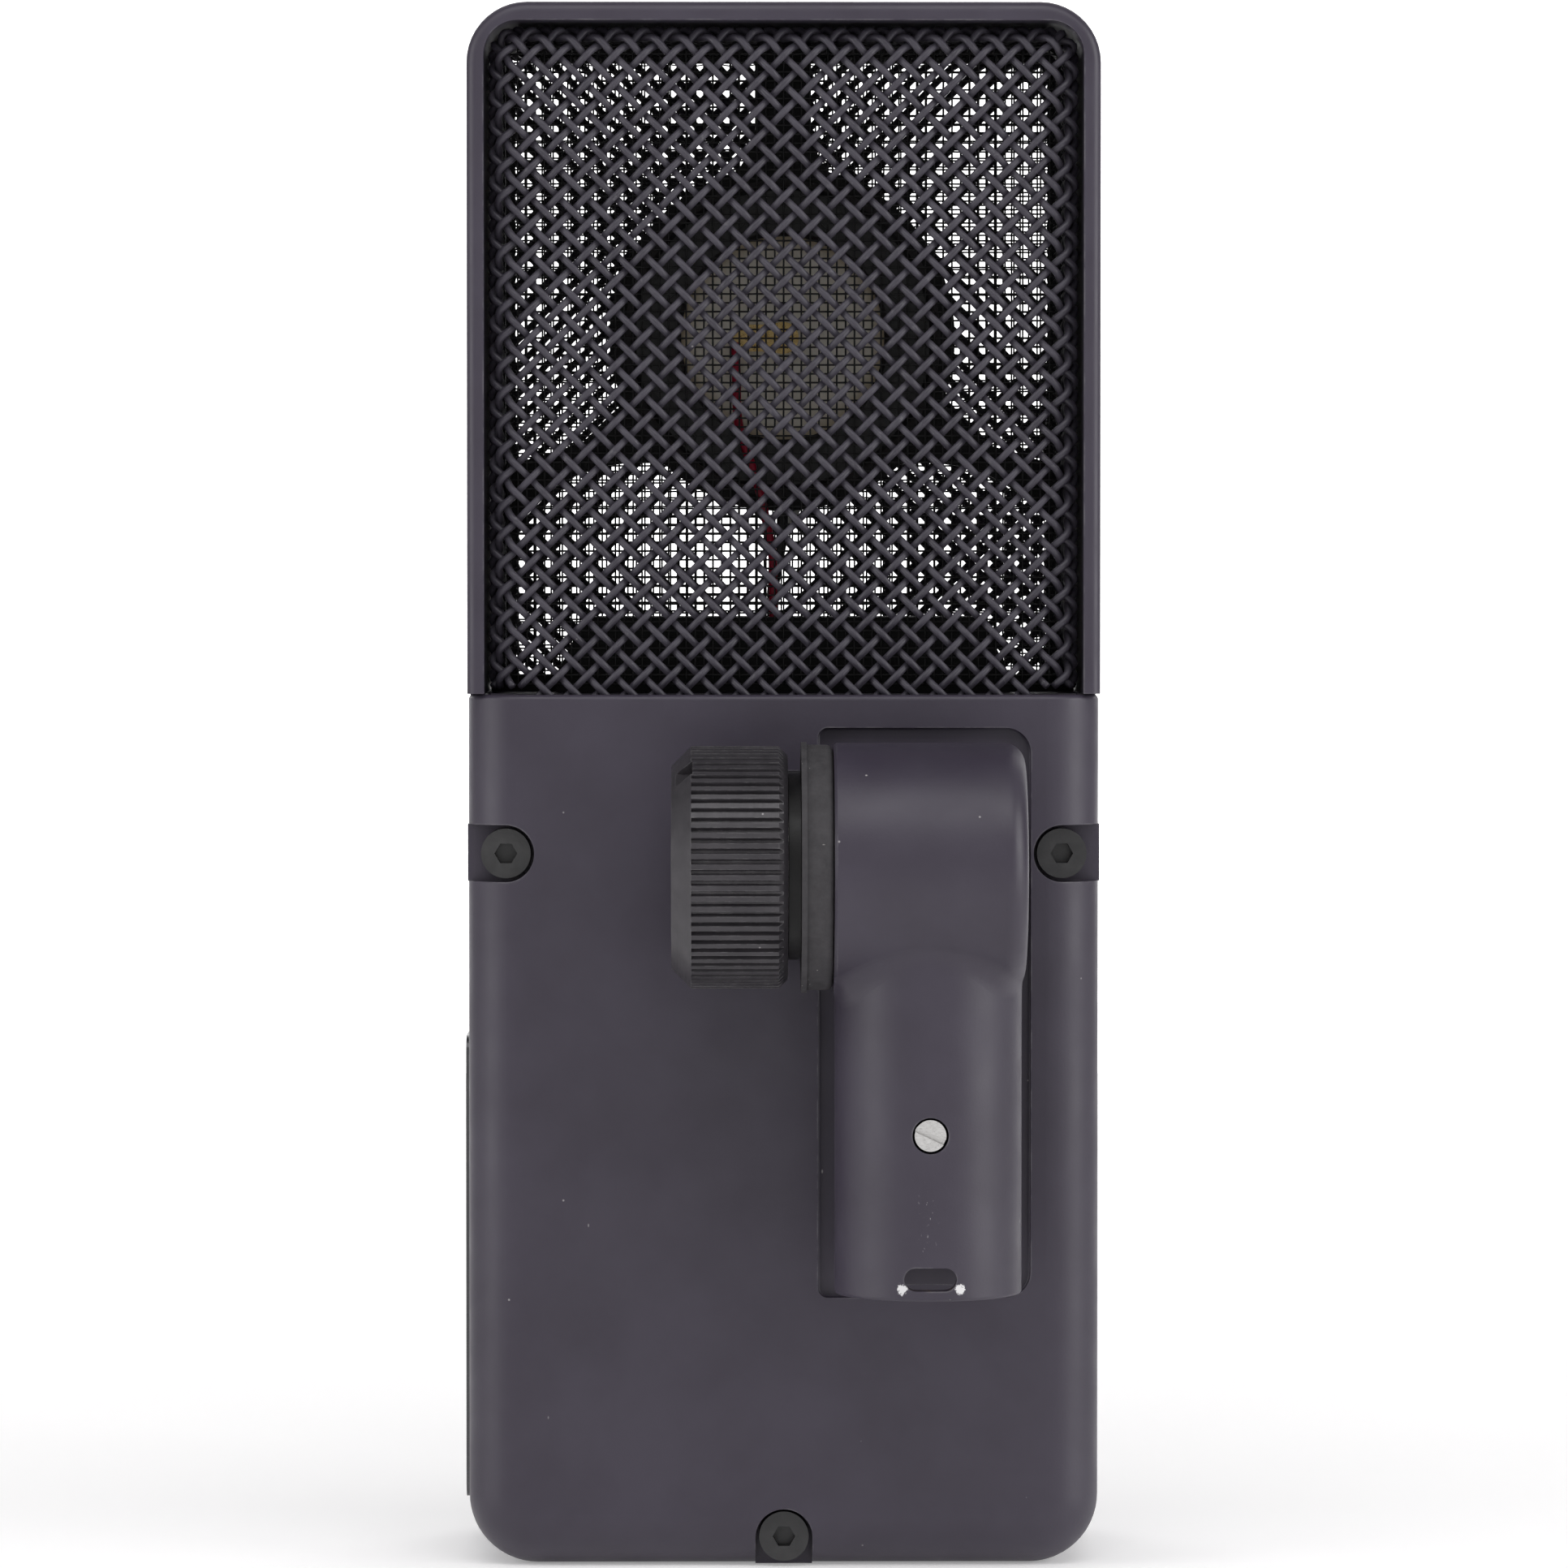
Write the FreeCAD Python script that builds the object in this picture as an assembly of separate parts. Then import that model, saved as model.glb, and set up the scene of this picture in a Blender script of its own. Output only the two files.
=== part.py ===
import FreeCAD, Part
import math
import os

# Side-address large-diaphragm studio microphone with a swivelling connector arm on its back.
# Millimetres. X is width, +Y is the front (the side that is spoken into), -Y the back, +Z up.
# The origin is the centre of the flat base.

vec = FreeCAD.Vector

# ---- body ----
body_width = 70.0
body_height = 173.0
body_depth = 40.0
base_corner = 7.7        # radius of the bottom corners, seen from the front
top_corner = 6.7         # radius of the head band's outer corners, seen from the front
head_base = 96.6         # height where the shells end and the open head begins

shell_wall = 2.2
shell_edge = 6.0         # rounding from the flat back or front round to the sides
shell_lip = 0.6          # rounding of the shells' top edge
shell_step = 0.05        # how far the shells' sides stand inside the frame's sides
joint_line = 0.1         # gap between neighbouring housing pieces

band_depth = 14.0        # frame rails between the two shells
band_wall = 2.8
band_floor = 3.0
deck_thick = 3.2
deck_margin = 0.3        # gap between the deck plate and what stands round it

hoop_wall = 1.9
hoop_top = 2.1
hoop_inner_corner = 3.8
hoop_recess = 1.4        # how far the hoop's rims stand inside the shells' faces
hoop_round = 1.2

# ---- grilles ----
grille_gap = 0.3         # all round between grille and hoop
grille_clear = 0.2       # gap between a shell's inside and the grille's tongue
grille_thick = 1.8       # two crossed layers of wire
grille_corner = 3.9
grille_edge = 3.4
tongue_reach = 4.0       # how far the grille's lower edge slips behind the shell lip
tongue_gap = 0.3
mesh_gap = 0.2
mesh_thick = 0.3

# ---- capsule and its carrier ----
capsule_drop = 34.5      # capsule axis below the hoop's inner top
capsule_radius = 17.0
clamp_land = 5.6         # width of the clamp rings
backplate_thick = 5.2
diaphragm_thick = 0.1
clamp_thick = 1.8
clamp_count = 8
clamp_inset = 2.6        # screw circle in from the capsule's edge
clamp_screw = 0.7
clamp_head = 1.25
gasket_thick = 0.8
gasket_gap = 0.05
carrier_depth = 4.0
carrier_ring = 1.6
carrier_rim = 1.6
carrier_arm = 6.1
carrier_flare = 6.0
carrier_foot = 1.8       # feet of the rim, beside the pedestal
# a side arm's corners, across from and up from the capsule's axis
arm_upper = ((14.0, -4.0), (19.4, -8.6), (22.6, -11.8))
arm_top_end = -14.6
arm_foot_end = -23.4
arm_hump = (23.6, -15.6)
arm_under = (12.0, -14.4)
tag_reach = 5.8
tag_width = 3.0
tag_thick = 0.35
terminal_head = 1.8

pedestal_rise = 8.4      # above the deck
pedestal_top = 44.4
pedestal_foot = 50.8
pedestal_depth = 16.0
pedestal_slope = 6.6
lead_radius = 0.5
sleeve_radius = 0.65
lead_spacing = 4.5
lead_offset = -1.1
grommet_radius = 1.9
lead_bend = 9.0
sleeve_bend = 5.0

# ---- screws that clamp the shells ----
notch_width = 6.3
notch_depth = 4.2
notch_floor = 2.0
side_screw_inset = 4.3   # screw axis in from the body's side
side_screw_drop = 17.5   # below the head's foot
base_screw_z = 3.4
notch_boss = 1.6
m3_shank = 1.5
m3_head = 2.75
m3_head_high = 3.0
m3_hex = 1.25
m3_hex_deep = 1.6
m3_clear = 0.2
m3_stop = 4.6            # from the screws' ends to the front shell's inside
m3_spare = 0.5           # hole past the screw's end
thread_gap = 0.02        # radial, a plain stand-in for a thread

# ---- swivel ----
pivot_drop = 18.4        # pivot axis below the head's foot
head_clear = 0.5         # gap between the arm's head and the back
ear_x = 0.35
ear_thick = 1.3
ear_half = 10.0
foot_thick = 2.4
foot_left = 11.0
foot_right = 9.5
foot_half = 12.0
foot_pad = 2.0
m2_shank = 1.0
m2_head = 1.9
m2_head_high = 1.4
m2_slot = 0.5
m2_slot_deep = 0.7
m2_clear = 0.1
pivot_radius = 3.0
run_gap = 0.05           # running clearance, radial and axial

washer_inset = 0.2       # rubber washer's edge within the head's
washer_thick = 3.45
washer_lip = 0.3
washer_lip_thick = 0.6
washer_round = 0.8
arm_gap = 0.05

head_radius = 13.5
head_near = 0.15         # head past the barrel's side, next to the washer
head_far = 0.3           # head past the barrel's far side
head_round = 2.3
head_break = 0.3
head_wall = 2.5
insert_bore = 8.15       # socket of a 3-pin connector
barrel_radius = 10.15
barrel_end = 32.0
barrel_land = 28.0       # turned length from the rim up, for a clip
neck_draft = 0.1         # how much the cast neck widens from the land to the pivot
barrel_blend = 3.2
barrel_rim = 0.35
mouth_step = 0.1
mouth_length = 3.0
insert_depth = 15.3      # rim to the insert's face
insert_length = 12.5
shoulder_step = 1.55
insert_gap = 0.05
window_width = 5.65
window_high = 2.5
window_rise = 2.35       # above the rim
set_screw_rise = 2.5     # above the insert's face
set_screw_radius = 1.7
set_screw_long = 5.2
set_screw_sunk = 0.4
set_screw_slot = 0.6
set_screw_turn = 25
set_hole_radius = 1.95
pin_radius = 1.2
pin_reach = 11.9         # below the insert's face
pin_tail_long = 4.2      # above the insert
pin_cup = 2.5
pin_spread = 3.55
pin_near = 3.1
pin_far = 4.7
bolt_flange = 5.0
bolt_flange_thick = 2.0
bolt_tip = 9.6           # bolt end beyond the ear, inside the knob
bolt_slot = 1.2
bolt_slot_deep = 0.9

swing = 90.0             # arm travel, folded down to straight out
cable_radius = 1.5
bush_radius = 2.2
bush_gap = 0.1
bush_drop = 4.0          # cable entry below the pivot axis
bush_flange = 3.6
bush_flange_thick = 1.0
bush_land = 1.5          # shell pad round the bush's flange
bush_engage = 0.7        # how far the bush's nose stands into the arm's slot
slot_gap = 0.35
loom_bend = 7.0

pocket_depth = 1.2
pocket_side = 1.6        # gap each side of the barrel
pocket_top = 14.8        # above the pivot axis
pocket_bottom = 2.0      # below the barrel's end
pocket_corner = 2.8
pocket_sharp = 1.1
pocket_edge = 0.3

knob_inset = 0.35        # knob's edge within the head's
knob_length = 12.55
knob_chamfer = 2.15
knob_back_chamfer = 1.0
knob_ridges = 72
knob_groove = 0.5
knob_groove_share = 0.62
knob_cavity = 5.2
knob_face = 1.5
knob_dish = 9.0
knob_dish_deep = 0.5
knob_notch_wide = 2.3
knob_notch_deep = 1.7
knob_notch_angle = 57.0
knob_insert_long = 8.5
thrust_radius = 8.0
thrust_thick = 1.05
thrust_gap = 0.1

# ---- electronics ----
board_margin = 8.0       # board's edge in from the body's side
board_low = 12.0
board_drop = 13.6        # board's top below the head's foot
board_thick = 1.6
board_y = 0.0
board_screw_inset = 2.6
lug_thick = 3.0
lug_half = 3.4
core_width = 22.0
core_height = 24.0
core_depth = 12.0
core_x = -12.0
core_z = 28.0
winding_depth = 14.0
winding_height = 15.0
can_radius = 5.0
can_length = 13.0
can_round = 0.6
can_places = ((10.0, 24.0), (21.5, 24.0))
film_size = (13.0, 5.0, 10.0)
film_x = -22.0
film_rows = (56.0, 64.0, 72.0)
transistor_radius = 2.3
transistor_high = 5.0
transistor_places = ((2.0, 62.0), (10.0, 62.0))
resistor_radius = 1.1
resistor_long = 6.3
resistor_x = 16.0
resistor_low = 40.0
resistor_pitch = 3.4
resistor_count = 5
header_size = (8.0, 13.0, 5.6)
socket_size = (8.0, 4.0, 7.0)
socket_z = 50.0

badge_low = 6.0
badge_high = 58.0
badge_depth = 11.0
badge_thick = 0.6
badge_corner = 2.0

# ---- places worked out from the sizes above ----
half_width = body_width / 2
shell_half = half_width - shell_step
back = -body_depth / 2
band_half = band_depth / 2
inner_half = half_width - hoop_wall
inner_top = body_height - hoop_top
deck_top = head_base + joint_line
deck_low = deck_top - deck_thick
capsule_z = inner_top - capsule_drop
grille_half = inner_half - grille_gap
grille_top = inner_top - grille_gap
grille_face = back + shell_wall + grille_clear
grille_foot = deck_top + tongue_gap
mesh_face = grille_face + grille_thick + mesh_gap
stack_half = backplate_thick / 2 + diaphragm_thick
carrier_half = carrier_depth / 2
carrier_bore = capsule_radius + gasket_thick
carrier_radius = carrier_bore + carrier_ring
diaphragm_open = capsule_radius - clamp_land
clamp_circle = capsule_radius - clamp_inset
side_screw_z = head_base - side_screw_drop
pivot_z = head_base - pivot_drop
pivot_y = back - head_clear - head_radius
washer_radius = head_radius - washer_inset
knob_radius = head_radius - knob_inset
ear_end = ear_x + ear_thick
washer_x = ear_end + run_gap
head_x = washer_x + washer_thick + arm_gap
barrel_x = head_x + head_near + barrel_radius
head_end = barrel_x + barrel_radius + head_far
land_end = barrel_end + barrel_land
insert_face = barrel_end + insert_depth
insert_top = insert_face + insert_length
window_z = barrel_end + window_rise
set_screw_z = insert_face + set_screw_rise
pin_tip = insert_face - pin_reach
pin_tail = insert_top + pin_tail_long
notch_y = back + notch_depth
shell_screw_reach = -(back + shell_wall) - m3_stop - notch_y
notch_half = notch_width / 2
foot_y = back + shell_wall + foot_pad
bush_z = pivot_z - bush_drop
knob_end = ear_x - run_gap - run_gap
knob_start = knob_end - knob_length
board_width = 2 * (half_width - board_margin)
board_high = head_base - board_drop
leads = (-lead_spacing, 0.0, lead_spacing)
shell_screw_places = (
    (-(half_width - side_screw_inset), side_screw_z),
    (half_width - side_screw_inset, side_screw_z),
    (0.0, base_screw_z),
)


# ---- small helpers ----
def block(x0, x1, y0, y1, z0, z1):
    return Part.makeBox(x1 - x0, y1 - y0, z1 - z0, vec(x0, y0, z0))


def rod(radius, start, end):
    """A round bar from one point to another."""
    return Part.makeCylinder(radius, (end - start).Length, start, end - start)


def mirrored(shape):
    """The same piece on the front side."""
    return shape.mirror(vec(0, 0, 0), vec(0, 1, 0))


def arc(a, b, c):
    return Part.Arc(a, b, c).toShape()


def outline(half, z0, z1, r0, r1, y):
    """A face in the plane y: a rectangle with corners r0 at the bottom and r1 at the top."""
    edges = []
    corners = (
        (half, z0, r0, 0),
        (half, z1, r1, 90),
        (-half, z1, r1, 180),
        (-half, z0, r0, 270),
    )
    points = []
    for x, z, r, turn in corners:
        cx = x - math.copysign(r, x)
        cz = z + r if z == z0 else z - r
        ring = []
        for step in (-90, -45, 0):
            angle = math.radians(turn + step)
            ring.append(vec(cx + r * math.cos(angle), y, cz + r * math.sin(angle)))
        points.append((r, ring))
    for index, (r, ring) in enumerate(points):
        following = points[(index + 1) % 4][1]
        if r > 0:
            edges.append(arc(*ring))
        edges.append(Part.makeLine(ring[2], following[0]))
    return Part.Face(Part.Wire(edges))


def face_edges(shape, y, z_skip):
    """The edges that lie in the plane y, apart from one along the height z_skip."""
    found = []
    for edge in shape.Edges:
        box = edge.BoundBox
        flat = abs(box.YMin - y) < 1e-6 and abs(box.YMax - y) < 1e-6
        skipped = abs(box.ZMin - z_skip) < 1e-6 and abs(box.ZMax - z_skip) < 1e-6
        if flat and not skipped:
            found.append(edge)
    return found


def soft_block(half, z0, z1, r0, r1, y0, y1, rounding, z_skip):
    """An extruded outline whose edges on the face y0 are rounded, apart from the one at z_skip."""
    solid = outline(half, z0, z1, r0, r1, y0).extrude(vec(0, y1 - y0, 0))
    return solid.makeFillet(rounding, face_edges(solid, y0, z_skip))


def tube(points, bends, radius):
    """A round wire along straight runs joined by tangent arcs; bends holds one radius per inner point."""
    edges = []
    here = points[0]
    for index, bend in enumerate(bends):
        corner = points[index + 1]
        back_dir = (points[index] - corner).normalize()
        on_dir = (points[index + 2] - corner).normalize()
        half_angle = back_dir.getAngle(on_dir) / 2
        reach = bend / math.tan(half_angle)
        inward = (back_dir + on_dir).normalize()
        centre = corner + inward * (bend / math.sin(half_angle))
        start = corner + back_dir * reach
        end = corner + on_dir * reach
        edges.append(Part.makeLine(here, start))
        edges.append(arc(start, centre - inward * bend, end))
        here = end
    edges.append(Part.makeLine(here, points[-1]))
    section = Part.Wire(Part.makeCircle(radius, points[0], points[1] - points[0]))
    return Part.Wire(edges).makePipeShell([section], True, False)


def cap_screw(shank, head, high, length, key, key_deep, slotted):
    """A screw along +Z whose head stands below the origin and whose shank runs up from it."""
    screw = rod(head, vec(0, 0, -high), vec(0, 0, 0)).fuse(rod(shank, vec(0, 0, 0), vec(0, 0, length)))
    if slotted:
        recess = block(-head, head, -key / 2, key / 2, -high, key_deep - high)
    else:
        corners = []
        for step in range(7):
            angle = math.radians(60 * step)
            corners.append(vec(key * math.cos(angle), key * math.sin(angle), -high))
        recess = Part.Face(Part.makePolygon(corners)).extrude(vec(0, 0, key_deep))
    return screw.cut(recess).removeSplitter()


def placed(shape, position, direction):
    """Turns a piece made along +Z to point along direction, and moves it to position."""
    turn = FreeCAD.Rotation(vec(0, 0, 1), direction)
    moved = shape.copy()
    moved.Placement = FreeCAD.Placement(position, turn)
    return moved


def joined(shapes):
    return shapes[0].multiFuse(shapes[1:]).removeSplitter()


pieces = {}


def keep(name, *shapes):
    """Registers the solids of one sub-part."""
    pieces[name] = shapes[0] if len(shapes) == 1 else Part.makeCompound(list(shapes))


# ---- housing ----
def main_frame():
    """Head band, side rails, base bar and deck in one casting."""
    hoop_back = back + hoop_recess
    outer = outline(half_width, deck_top, body_height, 0, top_corner, hoop_back)
    outer = outer.extrude(vec(0, -2 * hoop_back, 0))
    for y in (hoop_back, -hoop_back):
        outer = outer.makeFillet(hoop_round, face_edges(outer, y, deck_top))
    void = outline(inner_half, deck_top - 1, inner_top, 0, hoop_inner_corner, hoop_back - 1)
    void = void.extrude(vec(0, 2 - 2 * hoop_back, 0))
    hoop = outer.cut(void)
    rail = outline(half_width, 0, deck_top, base_corner, 0, -band_half).extrude(vec(0, band_depth, 0))
    room = outline(half_width - band_wall, band_floor, deck_low, base_corner - band_wall, 0, -band_half)
    rail = rail.cut(room.extrude(vec(0, band_depth, 0)))
    deck_half = shell_half - shell_wall - deck_margin
    deck_side = -(grille_face + grille_thick + deck_margin)
    deck = block(-deck_half, deck_half, -deck_side, deck_side, deck_low, deck_top)
    solids = [hoop, rail, deck]
    side_x = half_width - side_screw_inset
    lug_reach = m3_shank + m3_clear + notch_boss
    for sign in (-1, 1):
        near = sign * (side_x - lug_reach)
        far = sign * (half_width - band_wall / 2)
        solids.append(block(min(near, far), max(near, far), -band_half, band_half,
                            side_screw_z - lug_reach, side_screw_z + lug_reach))
        for z in (board_low + board_screw_inset, board_high - board_screw_inset):
            edge = sign * (board_width / 2 - 2 * board_screw_inset)
            solids.append(block(min(edge, far), max(edge, far), board_y - lug_thick, board_y,
                                z - lug_half, z + lug_half))
    solids.append(block(-lug_reach, lug_reach, -band_half, band_half, 0.5, base_screw_z + lug_reach))
    frame = joined(solids)
    for x, z in shell_screw_places:
        frame = frame.cut(rod(m3_shank + m3_clear, vec(x, -band_half - 1, z), vec(x, band_half + 1, z)))
    for x, z in board_screw_places():
        frame = frame.cut(rod(m2_shank + thread_gap, vec(x, board_y - lug_thick - 1, z), vec(x, board_y, z)))
    for y in leads:
        hole = rod(grommet_radius, vec(lead_offset, y, deck_low - 1), vec(lead_offset, y, deck_top + 1))
        frame = frame.cut(hole)
    return frame


def board_screw_places():
    places = []
    for x in (-(board_width / 2 - board_screw_inset), board_width / 2 - board_screw_inset):
        for z in (board_low + board_screw_inset, board_high - board_screw_inset):
            places.append((x, z))
    return places


def shell_envelope():
    """The rear shell's outer form, filled."""
    seam = -band_half - joint_line
    corner = base_corner - shell_step
    return soft_block(shell_half, 0, head_base, corner, 0, back, seam, shell_edge, head_base)


def half_shell():
    """A plain rear shell, open to the frame and to the head, with its top lip rounded."""
    seam = -band_half - joint_line
    outer = shell_envelope()
    lip = []
    for edge in outer.Edges:
        box = edge.BoundBox
        if box.ZMin > head_base - 1e-6 and box.YMin < seam - 1e-6 and box.YMax < seam + 1e-6:
            lip.append(edge)
    outer = outer.makeFillet(shell_lip, lip)
    inner = soft_block(shell_half - shell_wall, shell_wall, head_base + 5, base_corner - shell_wall, 0,
                       back + shell_wall, seam + 1, shell_edge - shell_wall, head_base + 5)
    return outer.cut(inner)


def notch_tool(x, z, y0, y1, radius):
    """A U-shaped slug that runs out past the body's nearest side or base."""
    slug = rod(radius, vec(x, y0, z), vec(x, y1, z))
    far = half_width + 2
    if x < 0:
        run = block(-far, x, y0, y1, z - radius, z + radius)
    elif x > 0:
        run = block(x, far, y0, y1, z - radius, z + radius)
    else:
        run = block(-radius, radius, y0, y1, -2, z)
    return slug.fuse(run).removeSplitter()


def rear_shell():
    seam = -band_half - joint_line
    pad_envelope = outline(half_width, 0, head_base, base_corner, 0, notch_y)
    pad_envelope = pad_envelope.extrude(vec(0, notch_floor, 0))
    shell = half_shell()
    envelope = shell_envelope()
    for x, z in shell_screw_places:
        boss = notch_tool(x, z, back, notch_y + notch_floor, notch_half + notch_boss).common(envelope)
        post = rod(m3_shank + m3_clear + notch_boss, vec(x, notch_y, z), vec(x, seam, z)).common(envelope)
        shell = shell.fuse([boss, post])
    for x, z in shell_screw_places:
        pad = notch_tool(x, z, notch_y, notch_y + notch_floor, notch_half).common(pad_envelope)
        shell = shell.fuse(pad)
        shell = shell.cut(notch_tool(x, z, back - 1, notch_y, notch_half))
        shell = shell.cut(rod(m3_shank + m3_clear, vec(x, back, z), vec(x, seam + 1, z)))
    inside = back + shell_wall
    shell = shell.fuse(block(-foot_left, foot_right, inside - 0.5, foot_y,
                             pivot_z - foot_half, pivot_z + foot_half))
    pad = rod(bush_flange + bush_land, vec(barrel_x, inside - 0.5, bush_z),
              vec(barrel_x, inside + pocket_depth, bush_z))
    shell = shell.fuse(pad)
    shell = shell.removeSplitter()
    shell = shell.cut(arm_pocket())
    shell = shell.cut(block(ear_x - run_gap, ear_end + run_gap, back - 1, foot_y + 1,
                            pivot_z - ear_half - run_gap, pivot_z + ear_half + run_gap))
    shell = shell.cut(rod(bush_radius + run_gap, vec(barrel_x, back - 1, bush_z), vec(barrel_x, 0, bush_z)))
    for x, z in bracket_screw_places():
        shell = shell.cut(rod(m2_shank + thread_gap, vec(x, back + 1.0, z), vec(x, foot_y + 1, z)))
    return shell.removeSplitter()


def arm_pocket():
    """Shallow recess that frames the folded arm."""
    x0 = barrel_x - barrel_radius - pocket_side
    x1 = barrel_x + barrel_radius + pocket_side
    z0 = barrel_end - pocket_bottom
    z1 = pivot_z + pocket_top
    y = back - 1
    cut = math.sqrt(0.5)
    small = pocket_sharp
    large = pocket_corner
    edges = [
        Part.makeLine(vec(x0 + small, y, z0), vec(x1 - large, y, z0)),
        arc(vec(x1 - large, y, z0), vec(x1 - large + large * cut, y, z0 + large - large * cut),
            vec(x1, y, z0 + large)),
        Part.makeLine(vec(x1, y, z0 + large), vec(x1, y, z1 - large)),
        arc(vec(x1, y, z1 - large), vec(x1 - large + large * cut, y, z1 - large + large * cut),
            vec(x1 - large, y, z1)),
        Part.makeLine(vec(x1 - large, y, z1), vec(x0 + small, y, z1)),
        arc(vec(x0 + small, y, z1), vec(x0 + small - small * cut, y, z1 - small + small * cut),
            vec(x0, y, z1 - small)),
        Part.makeLine(vec(x0, y, z1 - small), vec(x0, y, z0 + small)),
        arc(vec(x0, y, z0 + small), vec(x0 + small - small * cut, y, z0 + small - small * cut),
            vec(x0 + small, y, z0)),
    ]
    recess = Part.Face(Part.Wire(edges)).extrude(vec(0, 1 + pocket_depth, 0))
    return recess.makeFillet(pocket_edge, face_edges(recess, back + pocket_depth, -1e3))


def front_shell():
    shell = mirrored(half_shell())
    seam = band_half + joint_line
    inside = -(back + shell_wall)
    envelope = mirrored(shell_envelope())
    for x, z in shell_screw_places:
        post = rod(m3_shank + thread_gap + notch_boss, vec(x, seam, z), vec(x, inside + 0.3, z))
        shell = shell.fuse(post.common(envelope))
    end = notch_y + shell_screw_reach + m3_spare
    for x, z in shell_screw_places:
        shell = shell.cut(rod(m3_shank + thread_gap, vec(x, seam - 1, z), vec(x, end, z)))
    return shell.removeSplitter()


def shell_screws():
    screw = cap_screw(m3_shank, m3_head, m3_head_high, shell_screw_reach, m3_hex, m3_hex_deep, False)
    return [placed(screw, vec(x, notch_y, z), vec(0, 1, 0)) for x, z in shell_screw_places]


def side_badge():
    """Blank plate on the left side of the frame's rail."""
    half = badge_depth / 2
    plate = block(-half_width - badge_thick, -half_width, -half, half, badge_low, badge_high)
    along = [e for e in plate.Edges if abs(e.BoundBox.XLength - badge_thick) < 1e-6]
    return plate.makeFillet(badge_corner, along)


# ---- grilles ----
def basket(half, z0, z1, corner, edge, y_face, wall):
    """A tray of wire cloth, open towards the middle of the head and at its foot."""
    outer = soft_block(half, z0, z1, 0, corner, y_face, -carrier_half - joint_line, edge, z0)
    inner = soft_block(half - wall, z0 - 1, z1 - wall, 0, corner - wall, y_face + wall, 0, edge - wall,
                       z0 - 1)
    return outer.cut(inner)


def rear_grille():
    tray = basket(grille_half, grille_foot, grille_top, grille_corner, grille_edge, grille_face, grille_thick)
    reach = shell_half - shell_wall - 2 * deck_margin - (shell_edge - shell_wall)
    tongue = block(-reach, reach, grille_face, grille_face + grille_thick, head_base - tongue_reach,
                   grille_foot)
    return tray.fuse(tongue).removeSplitter()


def rear_inner_mesh():
    inset = grille_thick + mesh_gap
    return basket(grille_half - inset, grille_foot, grille_top - inset, grille_corner - inset,
                  grille_edge - inset + 0.2, mesh_face, mesh_thick)


# ---- capsule ----
def capsule_carrier():
    """Moulded plate with a rim, three arms and the ring that holds the capsule."""
    depth = vec(0, carrier_depth, 0)
    y = -carrier_half
    rim = outline(grille_half, deck_top, grille_top, 0, grille_corner, y).extrude(depth)
    rim_hole = outline(grille_half - carrier_rim, deck_top - 1, grille_top - carrier_rim, 0,
                       grille_corner - carrier_rim, y).extrude(depth)
    rim = rim.cut(rim_hole)
    ring = rod(carrier_radius, vec(0, y, capsule_z), vec(0, -y, capsule_z))
    half_arm = carrier_arm / 2
    top = grille_top - carrier_rim / 2
    flare_x = half_arm + carrier_flare
    flare_z = capsule_z + carrier_radius - 2.0
    knee = vec(half_arm, y, flare_z + carrier_flare)
    dip = vec(half_arm + 0.22 * carrier_flare, y, flare_z + 0.42 * carrier_flare)
    left_knee = vec(-knee.x, y, knee.z)
    left_dip = vec(-dip.x, y, dip.z)
    spar = [
        Part.makeLine(vec(-half_arm, y, top), vec(half_arm, y, top)),
        Part.makeLine(vec(half_arm, y, top), knee),
        arc(knee, dip, vec(flare_x, y, flare_z - 2.0)),
        Part.makeLine(vec(flare_x, y, flare_z - 2.0), vec(-flare_x, y, flare_z - 2.0)),
        arc(vec(-flare_x, y, flare_z - 2.0), left_dip, left_knee),
        Part.makeLine(left_knee, vec(-half_arm, y, top)),
    ]
    solids = [rim, ring, Part.Face(Part.Wire(spar)).extrude(depth)]
    side = carrier_side_arm(y).extrude(depth)
    solids.append(side)
    solids.append(side.mirror(vec(0, 0, 0), vec(1, 0, 0)))
    foot = block(pedestal_foot / 2 + joint_line, grille_half - carrier_rim / 2, y, -y, deck_top,
                 deck_top + carrier_foot)
    solids.append(foot)
    solids.append(foot.mirror(vec(0, 0, 0), vec(1, 0, 0)))
    carrier = joined(solids)
    centre = vec(0, 0, capsule_z)
    carrier = carrier.cut(rod(carrier_bore, centre + vec(0, y - 1, 0), centre + vec(0, 1 - y, 0)))
    return carrier.cut(rod(sleeve_radius + gasket_gap, centre, centre - vec(0, 0, carrier_radius + 1)))


def carrier_side_arm(y):
    """Face of the right arm: straight above, hollowed below, wide where it meets the rim."""
    end = grille_half - carrier_rim / 2
    upper = [vec(x, y, capsule_z + z) for x, z in (*arm_upper, (end, arm_top_end))]
    foot = vec(end, y, capsule_z + arm_foot_end)
    hump = vec(arm_hump[0], y, capsule_z + arm_hump[1])
    under = vec(arm_under[0], y, capsule_z + arm_under[1])
    return Part.Face(Part.Wire([
        Part.makeLine(upper[0], upper[1]),
        Part.makeLine(upper[1], upper[2]),
        Part.makeLine(upper[2], upper[3]),
        Part.makeLine(upper[3], foot),
        arc(foot, hump, under),
        Part.makeLine(under, upper[0]),
    ]))


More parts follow.
